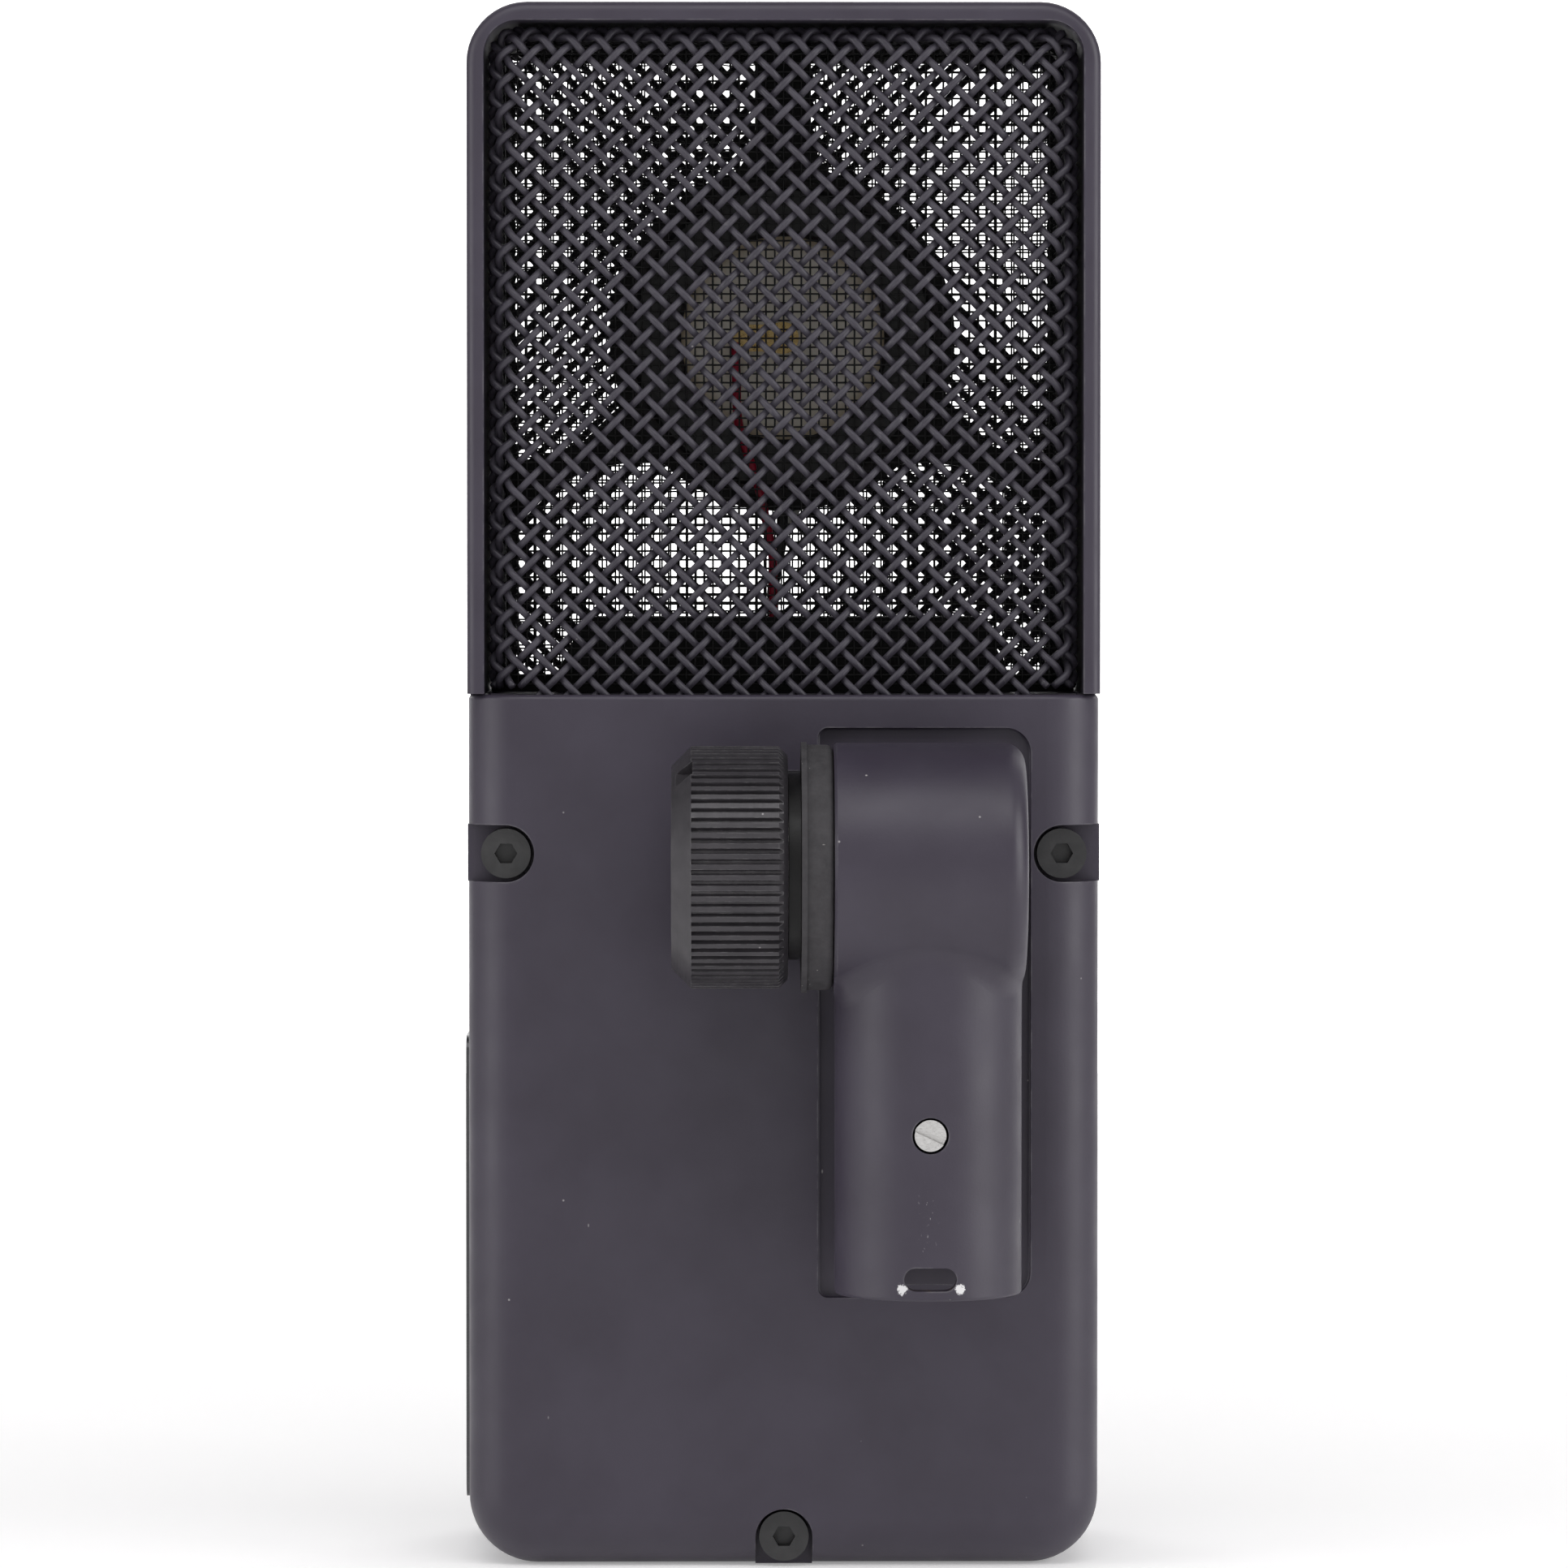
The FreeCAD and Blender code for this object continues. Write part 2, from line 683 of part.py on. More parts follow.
def head_pedestal():
    """Sloped block under the capsule that the leads drop through."""
    y = -pedestal_depth / 2
    z = deck_top
    top = pedestal_top / 2
    foot = pedestal_foot / 2
    face = Part.Face(Part.makePolygon([
        vec(-foot, y, z), vec(foot, y, z), vec(foot, y, z + pedestal_rise - pedestal_slope),
        vec(top, y, z + pedestal_rise), vec(-top, y, z + pedestal_rise),
        vec(-foot, y, z + pedestal_rise - pedestal_slope), vec(-foot, y, z),
    ]))
    solid = face.extrude(vec(0, pedestal_depth, 0))
    edges = [e for e in solid.Edges if e.BoundBox.ZMin > z + 0.5 and e.BoundBox.YLength > 1]
    solid = solid.makeFillet(1.0, edges)
    for lead_y in leads:
        start = vec(lead_offset, lead_y, z - 1)
        solid = solid.cut(rod(grommet_radius, start, start + vec(0, 0, pedestal_rise + 2)))
    for x in pedestal_screw_places():
        solid = solid.cut(rod(m2_shank + thread_gap, vec(x, 0, z - 1), vec(x, 0, z + 6)))
    return solid


def pedestal_screw_places():
    return (-0.35 * pedestal_foot, 0.35 * pedestal_foot)


def capsule_stack():
    """Backplate, both diaphragms, both clamp rings and their screws."""
    centre = vec(0, 0, capsule_z)
    y_face = backplate_thick / 2
    backplate = rod(capsule_radius, centre - vec(0, y_face, 0), centre + vec(0, y_face, 0))
    diaphragm = rod(capsule_radius, centre - vec(0, stack_half, 0), centre - vec(0, y_face, 0))
    ring_face = stack_half + clamp_thick
    ring = rod(capsule_radius, centre - vec(0, ring_face, 0), centre - vec(0, stack_half, 0))
    ring = ring.cut(rod(diaphragm_open, centre - vec(0, ring_face, 0), centre - vec(0, stack_half, 0)))
    bevel = [e for e in ring.Edges if abs(e.BoundBox.YMin + ring_face) < 1e-6 and e.BoundBox.YLength < 1e-6]
    ring = ring.makeChamfer(0.5, bevel)
    screw = cap_screw(clamp_screw, clamp_head, 0.5, clamp_thick + 1.6, 0.4, 0.25, True)
    screws = []
    for index in range(clamp_count):
        angle = 2 * math.pi * (index + 0.5) / clamp_count
        spot = centre + vec(clamp_circle * math.cos(angle), 0, clamp_circle * math.sin(angle))
        hole = rod(clamp_screw + thread_gap, spot - vec(0, ring_face + 1, 0), spot)
        backplate = backplate.cut(hole).cut(mirrored(hole))
        diaphragm = diaphragm.cut(hole)
        ring = ring.cut(hole)
        near = placed(screw, spot - vec(0, ring_face, 0), vec(0, 1, 0))
        screws.append(near)
        screws.append(mirrored(near))
    pin_hole = rod(clamp_screw + thread_gap, centre - vec(0, 9, 0), centre + vec(0, 9, 0))
    backplate = backplate.cut(pin_hole)
    diaphragm = diaphragm.cut(pin_hole)
    lead_hole = rod(sleeve_radius, centre - vec(0, 0, capsule_radius + 1),
                    centre - vec(0, 0, capsule_radius - 2))
    backplate = backplate.cut(lead_hole)
    keep("capsule_backplate", backplate)
    keep("rear_diaphragm", diaphragm)
    keep("front_diaphragm", mirrored(diaphragm))
    keep("rear_clamp_ring", ring)
    keep("front_clamp_ring", mirrored(ring))
    keep("clamp_ring_screws", *screws)


def capsule_gasket():
    """Rubber band between the capsule and the carrier's ring."""
    start = vec(0, -carrier_half, capsule_z)
    end = vec(0, carrier_half, capsule_z)
    ring = rod(carrier_bore, start, end).cut(rod(capsule_radius, start, end))
    centre = vec(0, 0, capsule_z)
    return ring.cut(rod(sleeve_radius + gasket_gap, centre, centre - vec(0, 0, carrier_radius)))


def terminals():
    """Centre screw and solder tag on each diaphragm."""
    tag = block(-tag_reach, terminal_head, -stack_half - tag_thick, -stack_half,
                capsule_z - tag_width / 2, capsule_z + tag_width / 2)
    upright = [e for e in tag.Edges if abs(e.BoundBox.YLength - tag_thick) < 1e-6]
    tag = tag.makeFillet(tag_width / 2 - 0.05, upright)
    tag = tag.cut(rod(clamp_screw + thread_gap, vec(0, -9, capsule_z), vec(0, 0, capsule_z)))
    screw = cap_screw(clamp_screw, terminal_head, 0.9, tag_thick + 2.2, 0.5, 0.4, True)
    screw = placed(screw, vec(0, -stack_half - tag_thick, capsule_z), vec(0, 1, 0))
    keep("rear_terminal_tag", tag)
    keep("rear_terminal_screw", screw)
    turned = vec(0, 0, capsule_z)
    keep("front_terminal_tag", tag.copy().rotate(turned, vec(0, 0, 1), 180))
    keep("front_terminal_screw", screw.copy().rotate(turned, vec(0, 0, 1), 180))


def capsule_leads():
    """Red and white leads from the diaphragms and a black sleeve from the backplate, down to the board."""
    tail = board_high + header_size[2]
    tag_y = -stack_half - tag_thick - lead_radius
    start_x = -tag_reach + lead_radius
    deck_z = deck_top + pedestal_rise
    route = [
        vec(start_x, tag_y, capsule_z - 0.6),
        vec(start_x + 0.2, tag_y - 2.2, capsule_z - 9.5),
        vec(start_x + 2.8, tag_y - 2.6, capsule_z - 17.5),
        vec(lead_offset, -lead_spacing, deck_z + 7.0),
        vec(lead_offset, -lead_spacing, tail),
    ]
    bends = (lead_bend, lead_bend, lead_bend)
    keep("rear_lead", tube(route, bends, lead_radius))
    front_route = [vec(-p.x + 2 * lead_offset if i > 2 else -p.x, -p.y, p.z) for i, p in enumerate(route)]
    keep("front_lead", tube(front_route, bends, lead_radius))
    middle = [vec(0, 0, capsule_z - capsule_radius + 1.0), vec(0, 0, capsule_z - capsule_radius - 5.0),
              vec(lead_offset, 0, deck_z + 3.0), vec(lead_offset, 0, tail)]
    keep("backplate_lead", tube(middle, (sleeve_bend, sleeve_bend), sleeve_radius))


def lead_grommets():
    rings = []
    for y in leads:
        bore = sleeve_radius if y == 0 else lead_radius
        low = vec(lead_offset, y, deck_low)
        high = vec(lead_offset, y, deck_top + pedestal_rise)
        rings.append(rod(grommet_radius, low, high).cut(rod(bore, low, high)))
    return rings


# ---- electronics ----
def circuit_board():
    half = board_width / 2
    board = block(-half, half, board_y, board_y + board_thick, board_low, board_high)
    for x, z in board_screw_places():
        hole = rod(m2_shank + m2_clear, vec(x, board_y - 1, z), vec(x, board_y + board_thick + 1, z))
        board = board.cut(hole)
    return board


def board_screws():
    screw = cap_screw(m2_shank, m2_head, m2_head_high, board_thick + 2.2, m2_slot, m2_slot_deep, True)
    return [placed(screw, vec(x, board_y + board_thick, z), vec(0, -1, 0)) for x, z in board_screw_places()]


def transformer():
    """Laminated core with a bobbin round its middle."""
    y0 = board_y + board_thick
    y1 = y0 + core_depth
    core = block(core_x - core_width / 2, core_x + core_width / 2, y0 + 1, y1, core_z - core_height / 2,
                 core_z + core_height / 2)
    window = core_width / 5
    for sign in (-1, 1):
        x = core_x + sign * core_width / 4.2
        core = core.cut(block(x - window / 2, x + window / 2, y0 - 1, y1 + 1,
                              core_z - winding_height / 2, core_z + winding_height / 2))
    middle = core_width / 4.2 - window / 2
    reach = core_width / 4.2 + window / 2
    wrap = block(core_x - reach + 0.1, core_x + reach - 0.1, y0, y0 + winding_depth,
                 core_z - winding_height / 2, core_z + winding_height / 2)
    slot = block(core_x - middle, core_x + middle, y0 + 1, y1, core_z - winding_height,
                 core_z + winding_height)
    keep("transformer_core", core)
    keep("transformer_winding", wrap.cut(slot))


def board_parts():
    """Capacitors, transistors and resistors on the front side of the board."""
    y0 = board_y + board_thick
    cans = []
    for x, z in can_places:
        can = rod(can_radius, vec(x, y0, z), vec(x, y0 + can_length, z))
        rim = [e for e in can.Edges if abs(e.BoundBox.YMin - y0 - can_length) < 1e-6]
        cans.append(can.makeFillet(can_round, rim))
    keep("electrolytic_capacitors", *cans)
    long, deep, high = film_size
    films = []
    for z in film_rows:
        films.append(block(film_x, film_x + long, y0, y0 + high, z - deep / 2, z + deep / 2))
    keep("film_capacitors", *films)
    flat = 0.6 * transistor_radius
    small_cans = []
    for x, z in transistor_places:
        body = rod(transistor_radius, vec(x, y0, z), vec(x, y0 + transistor_high, z))
        small_cans.append(body.cut(block(x - 3, x + 3, y0 - 1, y0 + 9, z + flat, z + 9)))
    keep("transistors", *small_cans)
    small = []
    for row in range(resistor_count):
        z = resistor_low + resistor_pitch * row
        y = y0 + resistor_radius
        small.append(rod(resistor_radius, vec(resistor_x, y, z), vec(resistor_x + resistor_long, y, z)))
    keep("resistors", *small)


def headers():
    """Block on the board's top edge for the capsule leads, and the output socket."""
    wide, deep, high = header_size
    left = lead_offset - wide / 2
    header = block(left, left + wide, -deep / 2, deep / 2, board_high, board_high + high)
    keep("capsule_header", header)
    wide, deep, high = socket_size
    left = barrel_x - wide / 2
    keep("output_socket", block(left, left + wide, board_y - deep, board_y, socket_z, socket_z + high))


def output_loom():
    """Cable from the board through the bush into the arm's head."""
    y = board_y - socket_size[1] / 2
    route = [vec(barrel_x, y, socket_z + socket_size[2]), vec(barrel_x, y, bush_z),
             vec(barrel_x, pivot_y + 1.0, bush_z)]
    return tube(route, (loom_bend,), cable_radius)


# ---- swivel ----
def bracket_screw_places():
    x_left = -foot_left + 3.0
    x_right = foot_right - 3.0
    z = foot_half - 3.0
    return ((x_left, pivot_z - z), (x_left, pivot_z + z), (x_right, pivot_z - z), (x_right, pivot_z + z))


def swivel_bracket():
    """Foot inside the rear shell and the ear that carries the pivot."""
    foot = block(-foot_left, foot_right, foot_y, foot_y + foot_thick, pivot_z - foot_half,
                 pivot_z + foot_half)
    ear = block(ear_x, ear_end, pivot_y, foot_y, pivot_z - ear_half, pivot_z + ear_half)
    tip = rod(ear_half, vec(ear_x, pivot_y, pivot_z), vec(ear_end, pivot_y, pivot_z))
    bracket = joined([foot, ear, tip])
    bracket = bracket.cut(rod(pivot_radius + run_gap, vec(ear_x - 1, pivot_y, pivot_z),
                              vec(ear_end + 1, pivot_y, pivot_z)))
    for x, z in bracket_screw_places():
        hole = rod(m2_shank + m2_clear, vec(x, foot_y - 1, z), vec(x, foot_y + foot_thick + 1, z))
        bracket = bracket.cut(hole)
    return bracket


def bracket_screws():
    length = foot_thick + foot_pad + 1.0
    screw = cap_screw(m2_shank, m2_head, m2_head_high, length, m2_slot, m2_slot_deep, True)
    return [placed(screw, vec(x, foot_y + foot_thick, z), vec(0, -1, 0)) for x, z in bracket_screw_places()]


def cable_bush():
    """Guide in the pocket's floor; the arm's slot runs round its nose and stops on it."""
    inside = back + shell_wall + pocket_depth
    nose = pivot_y + head_radius - bush_engage
    seat = vec(barrel_x, inside, bush_z)
    flange = rod(bush_flange, seat, seat + vec(0, bush_flange_thick, 0))
    body = rod(bush_radius, vec(barrel_x, nose, bush_z), seat)
    bush = flange.fuse(body).removeSplitter()
    return bush.cut(rod(cable_radius + bush_gap, vec(barrel_x, nose - 1, bush_z), vec(barrel_x, 0, bush_z)))


def wall_slot():
    """Slot through the back of the arm's head, long enough for the whole swing."""
    outer = head_radius + 2
    half = bush_radius + slot_gap
    inner = head_radius - head_wall
    low = -math.degrees(math.asin((bush_drop + half) / inner))
    high = swing - math.degrees(math.asin((bush_drop - half) / head_radius))
    near = pivot_y + inner - 3
    far = pivot_y + outer
    profile = Part.Face(Part.makePolygon([
        vec(barrel_x - half, near, pivot_z), vec(barrel_x + half, near, pivot_z),
        vec(barrel_x + half, far, pivot_z), vec(barrel_x - half, far, pivot_z),
        vec(barrel_x - half, near, pivot_z),
    ]))
    start = profile.copy().rotate(vec(0, pivot_y, pivot_z), vec(1, 0, 0), low)
    return start.revolve(vec(0, pivot_y, pivot_z), vec(1, 0, 0), high - low)


def swivel_arm():
    """Hollow head on the pivot axis with the connector barrel below it."""
    axis = vec(0, pivot_y, pivot_z)
    head = rod(head_radius, axis + vec(head_x, 0, 0), axis + vec(head_end, 0, 0))
    end = [e for e in head.Edges if abs(e.BoundBox.XMin - head_end) < 1e-6]
    head = head.makeFillet(head_round, end)
    barrel = rod(barrel_radius, vec(barrel_x, pivot_y, barrel_end), vec(barrel_x, pivot_y, land_end))
    neck = Part.makeCone(barrel_radius, barrel_radius + neck_draft, pivot_z - land_end,
                         vec(barrel_x, pivot_y, land_end), vec(0, 0, 1))
    arm = head.fuse([barrel, neck]).removeSplitter()
    saddle = [e for e in arm.Edges if "BSpline" in e.Curve.__class__.__name__]
    arm = arm.makeFillet(barrel_blend, saddle)
    rim = [e for e in arm.Edges if abs(e.BoundBox.ZMax - barrel_end) < 1e-6]
    arm = arm.makeFillet(barrel_rim, rim)
    bevel = Part.Face(Part.makePolygon([
        vec(head_x - 1, pivot_y, pivot_z + head_radius - head_break - 1),
        vec(head_x + head_break, pivot_y, pivot_z + head_radius),
        vec(head_x - 1, pivot_y, pivot_z + head_radius),
        vec(head_x - 1, pivot_y, pivot_z + head_radius - head_break - 1),
    ]))
    arm = arm.cut(bevel.revolve(axis, vec(1, 0, 0), 360))
    inner = head_radius - head_wall
    arm = arm.cut(rod(inner, axis + vec(head_x + head_wall, 0, 0), axis + vec(head_end - head_wall, 0, 0)))
    drill = vec(barrel_x, pivot_y, 0)
    for radius, low, high in (
        (insert_bore - shoulder_step, insert_top - 1, pivot_z),
        (insert_bore, barrel_end - 1, insert_top),
        (insert_bore + mouth_step, barrel_end - 1, barrel_end + mouth_length),
    ):
        arm = arm.cut(rod(radius, drill + vec(0, 0, low), drill + vec(0, 0, high)))
    arm = arm.cut(rod(pivot_radius + thread_gap, axis + vec(head_x - 1, 0, 0), axis + vec(head_x + 6, 0, 0)))
    arm = arm.cut(wall_slot())
    arm = arm.cut(latch_window())
    screw_axis = vec(barrel_x, pivot_y, set_screw_z)
    return arm.cut(rod(set_hole_radius, screw_axis, screw_axis - vec(0, barrel_radius + 2, 0)))


def latch_window():
    """Rounded slot near the rim that the plug's latch snaps into."""
    half = window_high / 2
    reach = window_width / 2 - half
    depth = vec(0, -barrel_radius - 2, 0)
    left = vec(barrel_x - reach, pivot_y, window_z)
    right = vec(barrel_x + reach, pivot_y, window_z)
    middle = block(left.x, right.x, pivot_y + depth.y, pivot_y, window_z - half, window_z + half)
    return joined([rod(half, left, left + depth), rod(half, right, right + depth), middle])


def friction_washer():
    """Rubber disc bonded to the arm's head, with a thin lip towards the ear."""
    axis = vec(0, pivot_y, pivot_z)
    start = axis + vec(washer_x, 0, 0)
    end = start + vec(washer_thick, 0, 0)
    disc = rod(washer_radius, start, end)
    soft = [e for e in disc.Edges if abs(e.BoundBox.XMin - end.x) < 1e-6]
    disc = disc.makeFillet(washer_round, soft)
    lip = rod(washer_radius + washer_lip, start, start + vec(washer_lip_thick, 0, 0))
    return disc.fuse(lip).cut(rod(pivot_radius + run_gap, start, end)).removeSplitter()


def pivot_bolt():
    """Flanged bolt screwed out through the head's wall, the washer and the ear."""
    axis = vec(0, pivot_y, pivot_z)
    inner = head_x + head_wall
    shank = rod(pivot_radius, axis + vec(ear_x - bolt_tip, 0, 0), axis + vec(inner, 0, 0))
    tip = [e for e in shank.Edges if abs(e.BoundBox.XMax - ear_x + bolt_tip) < 1e-6]
    shank = shank.makeChamfer(0.5, tip)
    flange = rod(bolt_flange, axis + vec(inner, 0, 0), axis + vec(inner + bolt_flange_thick, 0, 0))
    bolt = shank.fuse(flange).removeSplitter()
    end = inner + bolt_flange_thick
    reach = bolt_flange + 1
    half = bolt_slot / 2
    return bolt.cut(block(end - bolt_slot_deep, end + 1, pivot_y - reach, pivot_y + reach,
                          pivot_z - half, pivot_z + half))


def connector_insert():
    """Insulating block, contact pins and the screw that holds the block."""
    drill = vec(barrel_x, pivot_y, 0)
    face = drill + vec(0, 0, insert_face)
    top = drill + vec(0, 0, insert_top)
    block_body = rod(insert_bore - insert_gap, face, top)
    contacts = []
    for x, y in ((-pin_spread, -pin_near), (pin_spread, -pin_near), (0.0, pin_far)):
        spot = drill + vec(x, y, 0)
        contact = rod(pin_radius, spot + vec(0, 0, pin_tip), spot + vec(0, 0, pin_tail))
        nose = [e for e in contact.Edges if abs(e.BoundBox.ZMax - pin_tip) < 1e-6]
        contact = contact.makeFillet(0.8 * pin_radius, nose)
        cup = rod(0.6 * pin_radius, spot + vec(0, 0, pin_tail - pin_cup), spot + vec(0, 0, pin_tail))
        contact = contact.cut(cup)
        contacts.append(contact)
        block_body = block_body.cut(rod(pin_radius, face + vec(x, y, -1), top + vec(x, y, 1)))
    start = drill + vec(0, set_screw_sunk - barrel_radius, set_screw_z)
    tip = start + vec(0, set_screw_long, 0)
    screw = rod(set_screw_radius, start, tip)
    half = set_screw_slot / 2
    slot = block(-3, 3, -1, 0.7, -half, half)
    slot.rotate(vec(0, 0, 0), vec(0, 1, 0), set_screw_turn)
    slot.translate(start)
    block_body = block_body.cut(rod(set_screw_radius + thread_gap, start, tip + vec(0, 0.2, 0)))
    keep("connector_insert", block_body)
    keep("contact_pins", *contacts)
    keep("insert_screw", screw.cut(slot))


def arm_loom():
    """Cable from the contact pins up the barrel to the pivot."""
    spot = vec(barrel_x, pivot_y, 0)
    low = pin_tail - 3.0
    return rod(cable_radius, spot + vec(0, 0, low), spot + vec(0, 0, bush_z - 2 * cable_radius + 0.6))


def clamp_knob():
    """Knurled knob with a blind hollow for its threaded insert."""
    r = knob_radius
    x0 = knob_start
    x1 = knob_end
    seat_x = x1 - thrust_thick + run_gap
    seat_r = thrust_radius + thrust_gap
    dish_x = x0 + knob_dish_deep
    floor_x = dish_x + knob_face
    profile = Part.Face(Part.makePolygon([
        vec(dish_x, 0, 0), vec(dish_x, 0, knob_dish), vec(x0, 0, knob_dish + 0.8),
        vec(x0, 0, r - knob_chamfer), vec(x0 + knob_chamfer, 0, r), vec(x1 - knob_back_chamfer, 0, r),
        vec(x1, 0, r - knob_back_chamfer),
        vec(x1, 0, seat_r), vec(seat_x, 0, seat_r), vec(seat_x, 0, knob_cavity),
        vec(floor_x, 0, knob_cavity), vec(floor_x, 0, 0), vec(dish_x, 0, 0),
    ]))
    knob = profile.revolve(vec(0, 0, 0), vec(1, 0, 0), 360)
    if knob.Volume < 0:
        knob.reverse()
    pitch = 2 * math.pi / knob_ridges
    half = knob_groove_share * pitch * r / 2
    floor = r - knob_groove
    start = x0 + knob_chamfer
    grooves = []
    for index in range(knob_ridges):
        groove = Part.Face(Part.makePolygon([
            vec(start, -half, r + 0.2), vec(start, -0.35 * half, floor), vec(start, 0.35 * half, floor),
            vec(start, half, r + 0.2), vec(start, -half, r + 0.2),
        ])).extrude(vec(x1 - start + 1, 0, 0))
        groove.rotate(vec(0, 0, 0), vec(1, 0, 0), 360.0 * index / knob_ridges)
        grooves.append(groove)
    knob = knob.cut(grooves)
    for turn in (0, 180):
        notch = block(x0 - 1, x0 + knob_notch_wide, -r - 1, -r + knob_notch_deep, -knob_notch_wide / 2,
                      knob_notch_wide / 2)
        notch.rotate(vec(0, 0, 0), vec(1, 0, 0), turn - knob_notch_angle)
        knob = knob.cut(notch)
    knob.translate(vec(0, pivot_y, pivot_z))
    return knob


def knob_insert():
    """Threaded metal bush pressed into the knob; the bolt's thread runs in it."""
    axis = vec(knob_end - thrust_thick + run_gap, pivot_y, pivot_z)
    far = axis - vec(knob_insert_long, 0, 0)
    return rod(knob_cavity, far, axis).cut(rod(pivot_radius + run_gap, far, axis))


def thrust_washer():
    end = vec(ear_x - run_gap, pivot_y, pivot_z)
    start = end - vec(thrust_thick, 0, 0)
    return rod(thrust_radius, start, end).cut(rod(pivot_radius + run_gap, start, end))


keep("main_frame", main_frame())
keep("rear_shell", rear_shell())
keep("front_shell", front_shell())
keep("shell_screws", *shell_screws())
keep("side_badge", side_badge())
keep("rear_grille", rear_grille())
keep("front_grille", mirrored(pieces["rear_grille"]))
keep("rear_inner_mesh", rear_inner_mesh())
keep("front_inner_mesh", mirrored(pieces["rear_inner_mesh"]))
keep("capsule_carrier", capsule_carrier())
keep("head_pedestal", head_pedestal())
capsule_stack()
keep("capsule_gasket", capsule_gasket())
terminals()
capsule_leads()
keep("lead_grommets", *lead_grommets())
keep("circuit_board", circuit_board())
keep("board_screws", *board_screws())
transformer()
board_parts()
headers()
keep("output_loom", output_loom())
keep("cable_bush", cable_bush())
keep("swivel_bracket", swivel_bracket())
keep("bracket_screws", *bracket_screws())
keep("swivel_arm", swivel_arm())
keep("friction_washer", friction_washer())
keep("pivot_bolt", pivot_bolt())
connector_insert()
keep("arm_loom", arm_loom())
keep("thrust_washer", thrust_washer())
keep("clamp_knob", clamp_knob())
keep("knob_insert", knob_insert())

os.makedirs("parts", exist_ok=True)
for name, shape in pieces.items():
    shape.exportStep("parts/" + name + ".step")
    print(name, "solids", len(shape.Solids), "volume", round(shape.Volume, 2), "valid", shape.isValid())
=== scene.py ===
import math

import bpy
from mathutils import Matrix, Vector


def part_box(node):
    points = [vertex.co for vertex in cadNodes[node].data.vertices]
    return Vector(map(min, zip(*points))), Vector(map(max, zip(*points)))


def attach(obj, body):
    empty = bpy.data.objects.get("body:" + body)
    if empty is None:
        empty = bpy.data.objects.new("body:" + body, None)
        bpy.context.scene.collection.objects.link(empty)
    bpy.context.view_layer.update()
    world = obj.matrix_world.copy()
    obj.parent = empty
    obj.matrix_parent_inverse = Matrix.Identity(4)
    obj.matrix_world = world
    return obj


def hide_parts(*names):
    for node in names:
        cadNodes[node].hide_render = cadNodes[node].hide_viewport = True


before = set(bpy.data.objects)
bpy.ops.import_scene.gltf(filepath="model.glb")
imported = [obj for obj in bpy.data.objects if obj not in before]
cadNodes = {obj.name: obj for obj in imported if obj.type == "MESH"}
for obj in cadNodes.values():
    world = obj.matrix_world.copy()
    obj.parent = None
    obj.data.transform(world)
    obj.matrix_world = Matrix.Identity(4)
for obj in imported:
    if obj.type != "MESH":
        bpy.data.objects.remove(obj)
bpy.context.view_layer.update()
print("frame loaded:", len(cadNodes), "nodes")


# shader helpers

def startMaterial(name):
    mat = bpy.data.materials.new(name)
    mat.use_nodes = True
    return mat, mat.node_tree.nodes["Principled BSDF"]


def addNode(mat, kind, inputs=None, **settings):
    # a socket given as an input is linked, anything else is its plain value
    node = mat.node_tree.nodes.new(kind)
    for key, value in settings.items():
        setattr(node, key, value)
    for key, value in (inputs or {}).items():
        if isinstance(value, bpy.types.NodeSocket):
            mat.node_tree.links.new(value, node.inputs[key])
        else:
            node.inputs[key].default_value = value
    return node


def objectPlace(mat):
    return addNode(mat, "ShaderNodeTexCoord").outputs["Object"]


def stretched(mat, place, scale):
    node = addNode(mat, "ShaderNodeMapping", {"Vector": place, "Scale": scale})
    return node.outputs["Vector"]


def noise(mat, place, size, detail=3.0, rough=0.55):
    # size is the width of one blotch in metres
    node = addNode(mat, "ShaderNodeTexNoise", {"Vector": place, "Scale": 1 / size, "Detail": detail,
                                               "Roughness": rough})
    return node.outputs["Fac"]


def spread(mat, value, start, stop, low=0.0, high=1.0):
    node = addNode(mat, "ShaderNodeMapRange", {"Value": value, "From Min": start, "From Max": stop,
                                               "To Min": low, "To Max": high}, clamp=True)
    return node.outputs["Result"]


def reckon(mat, sort, first, second):
    node = addNode(mat, "ShaderNodeMath", {0: first, 1: second}, operation=sort)
    return node.outputs["Value"]


def mixColour(mat, share, first, second):
    node = addNode(mat, "ShaderNodeMix", {0: share, 6: first, 7: second}, data_type="RGBA")
    return node.outputs[2]


def bumpFrom(mat, height, depth, strength=1.0, over=None):
    inputs = {"Height": height, "Distance": depth, "Strength": strength}
    if over is not None:
        inputs["Normal"] = over
    return addNode(mat, "ShaderNodeBump", inputs).outputs["Normal"]


def specks(mat, place, cell, radius, share):
    # small dots, one in some of the cells of a scattered grid
    grid = addNode(mat, "ShaderNodeTexVoronoi", {"Vector": place, "Scale": 1 / cell})
    dot = spread(mat, grid.outputs["Distance"], radius / cell, 0.4 * radius / cell)
    lot = addNode(mat, "ShaderNodeSeparateColor", {0: grid.outputs["Color"]}).outputs[0]
    return reckon(mat, "MULTIPLY", dot, spread(mat, lot, 1 - share, 1 - 0.6 * share))


wear = {
    "flat": 0.985,            # how far the softened edge may lean before it counts as worn
    "sharp": 0.86,
    "patches": (0.46, 0.62),
    "samples": 6,
}


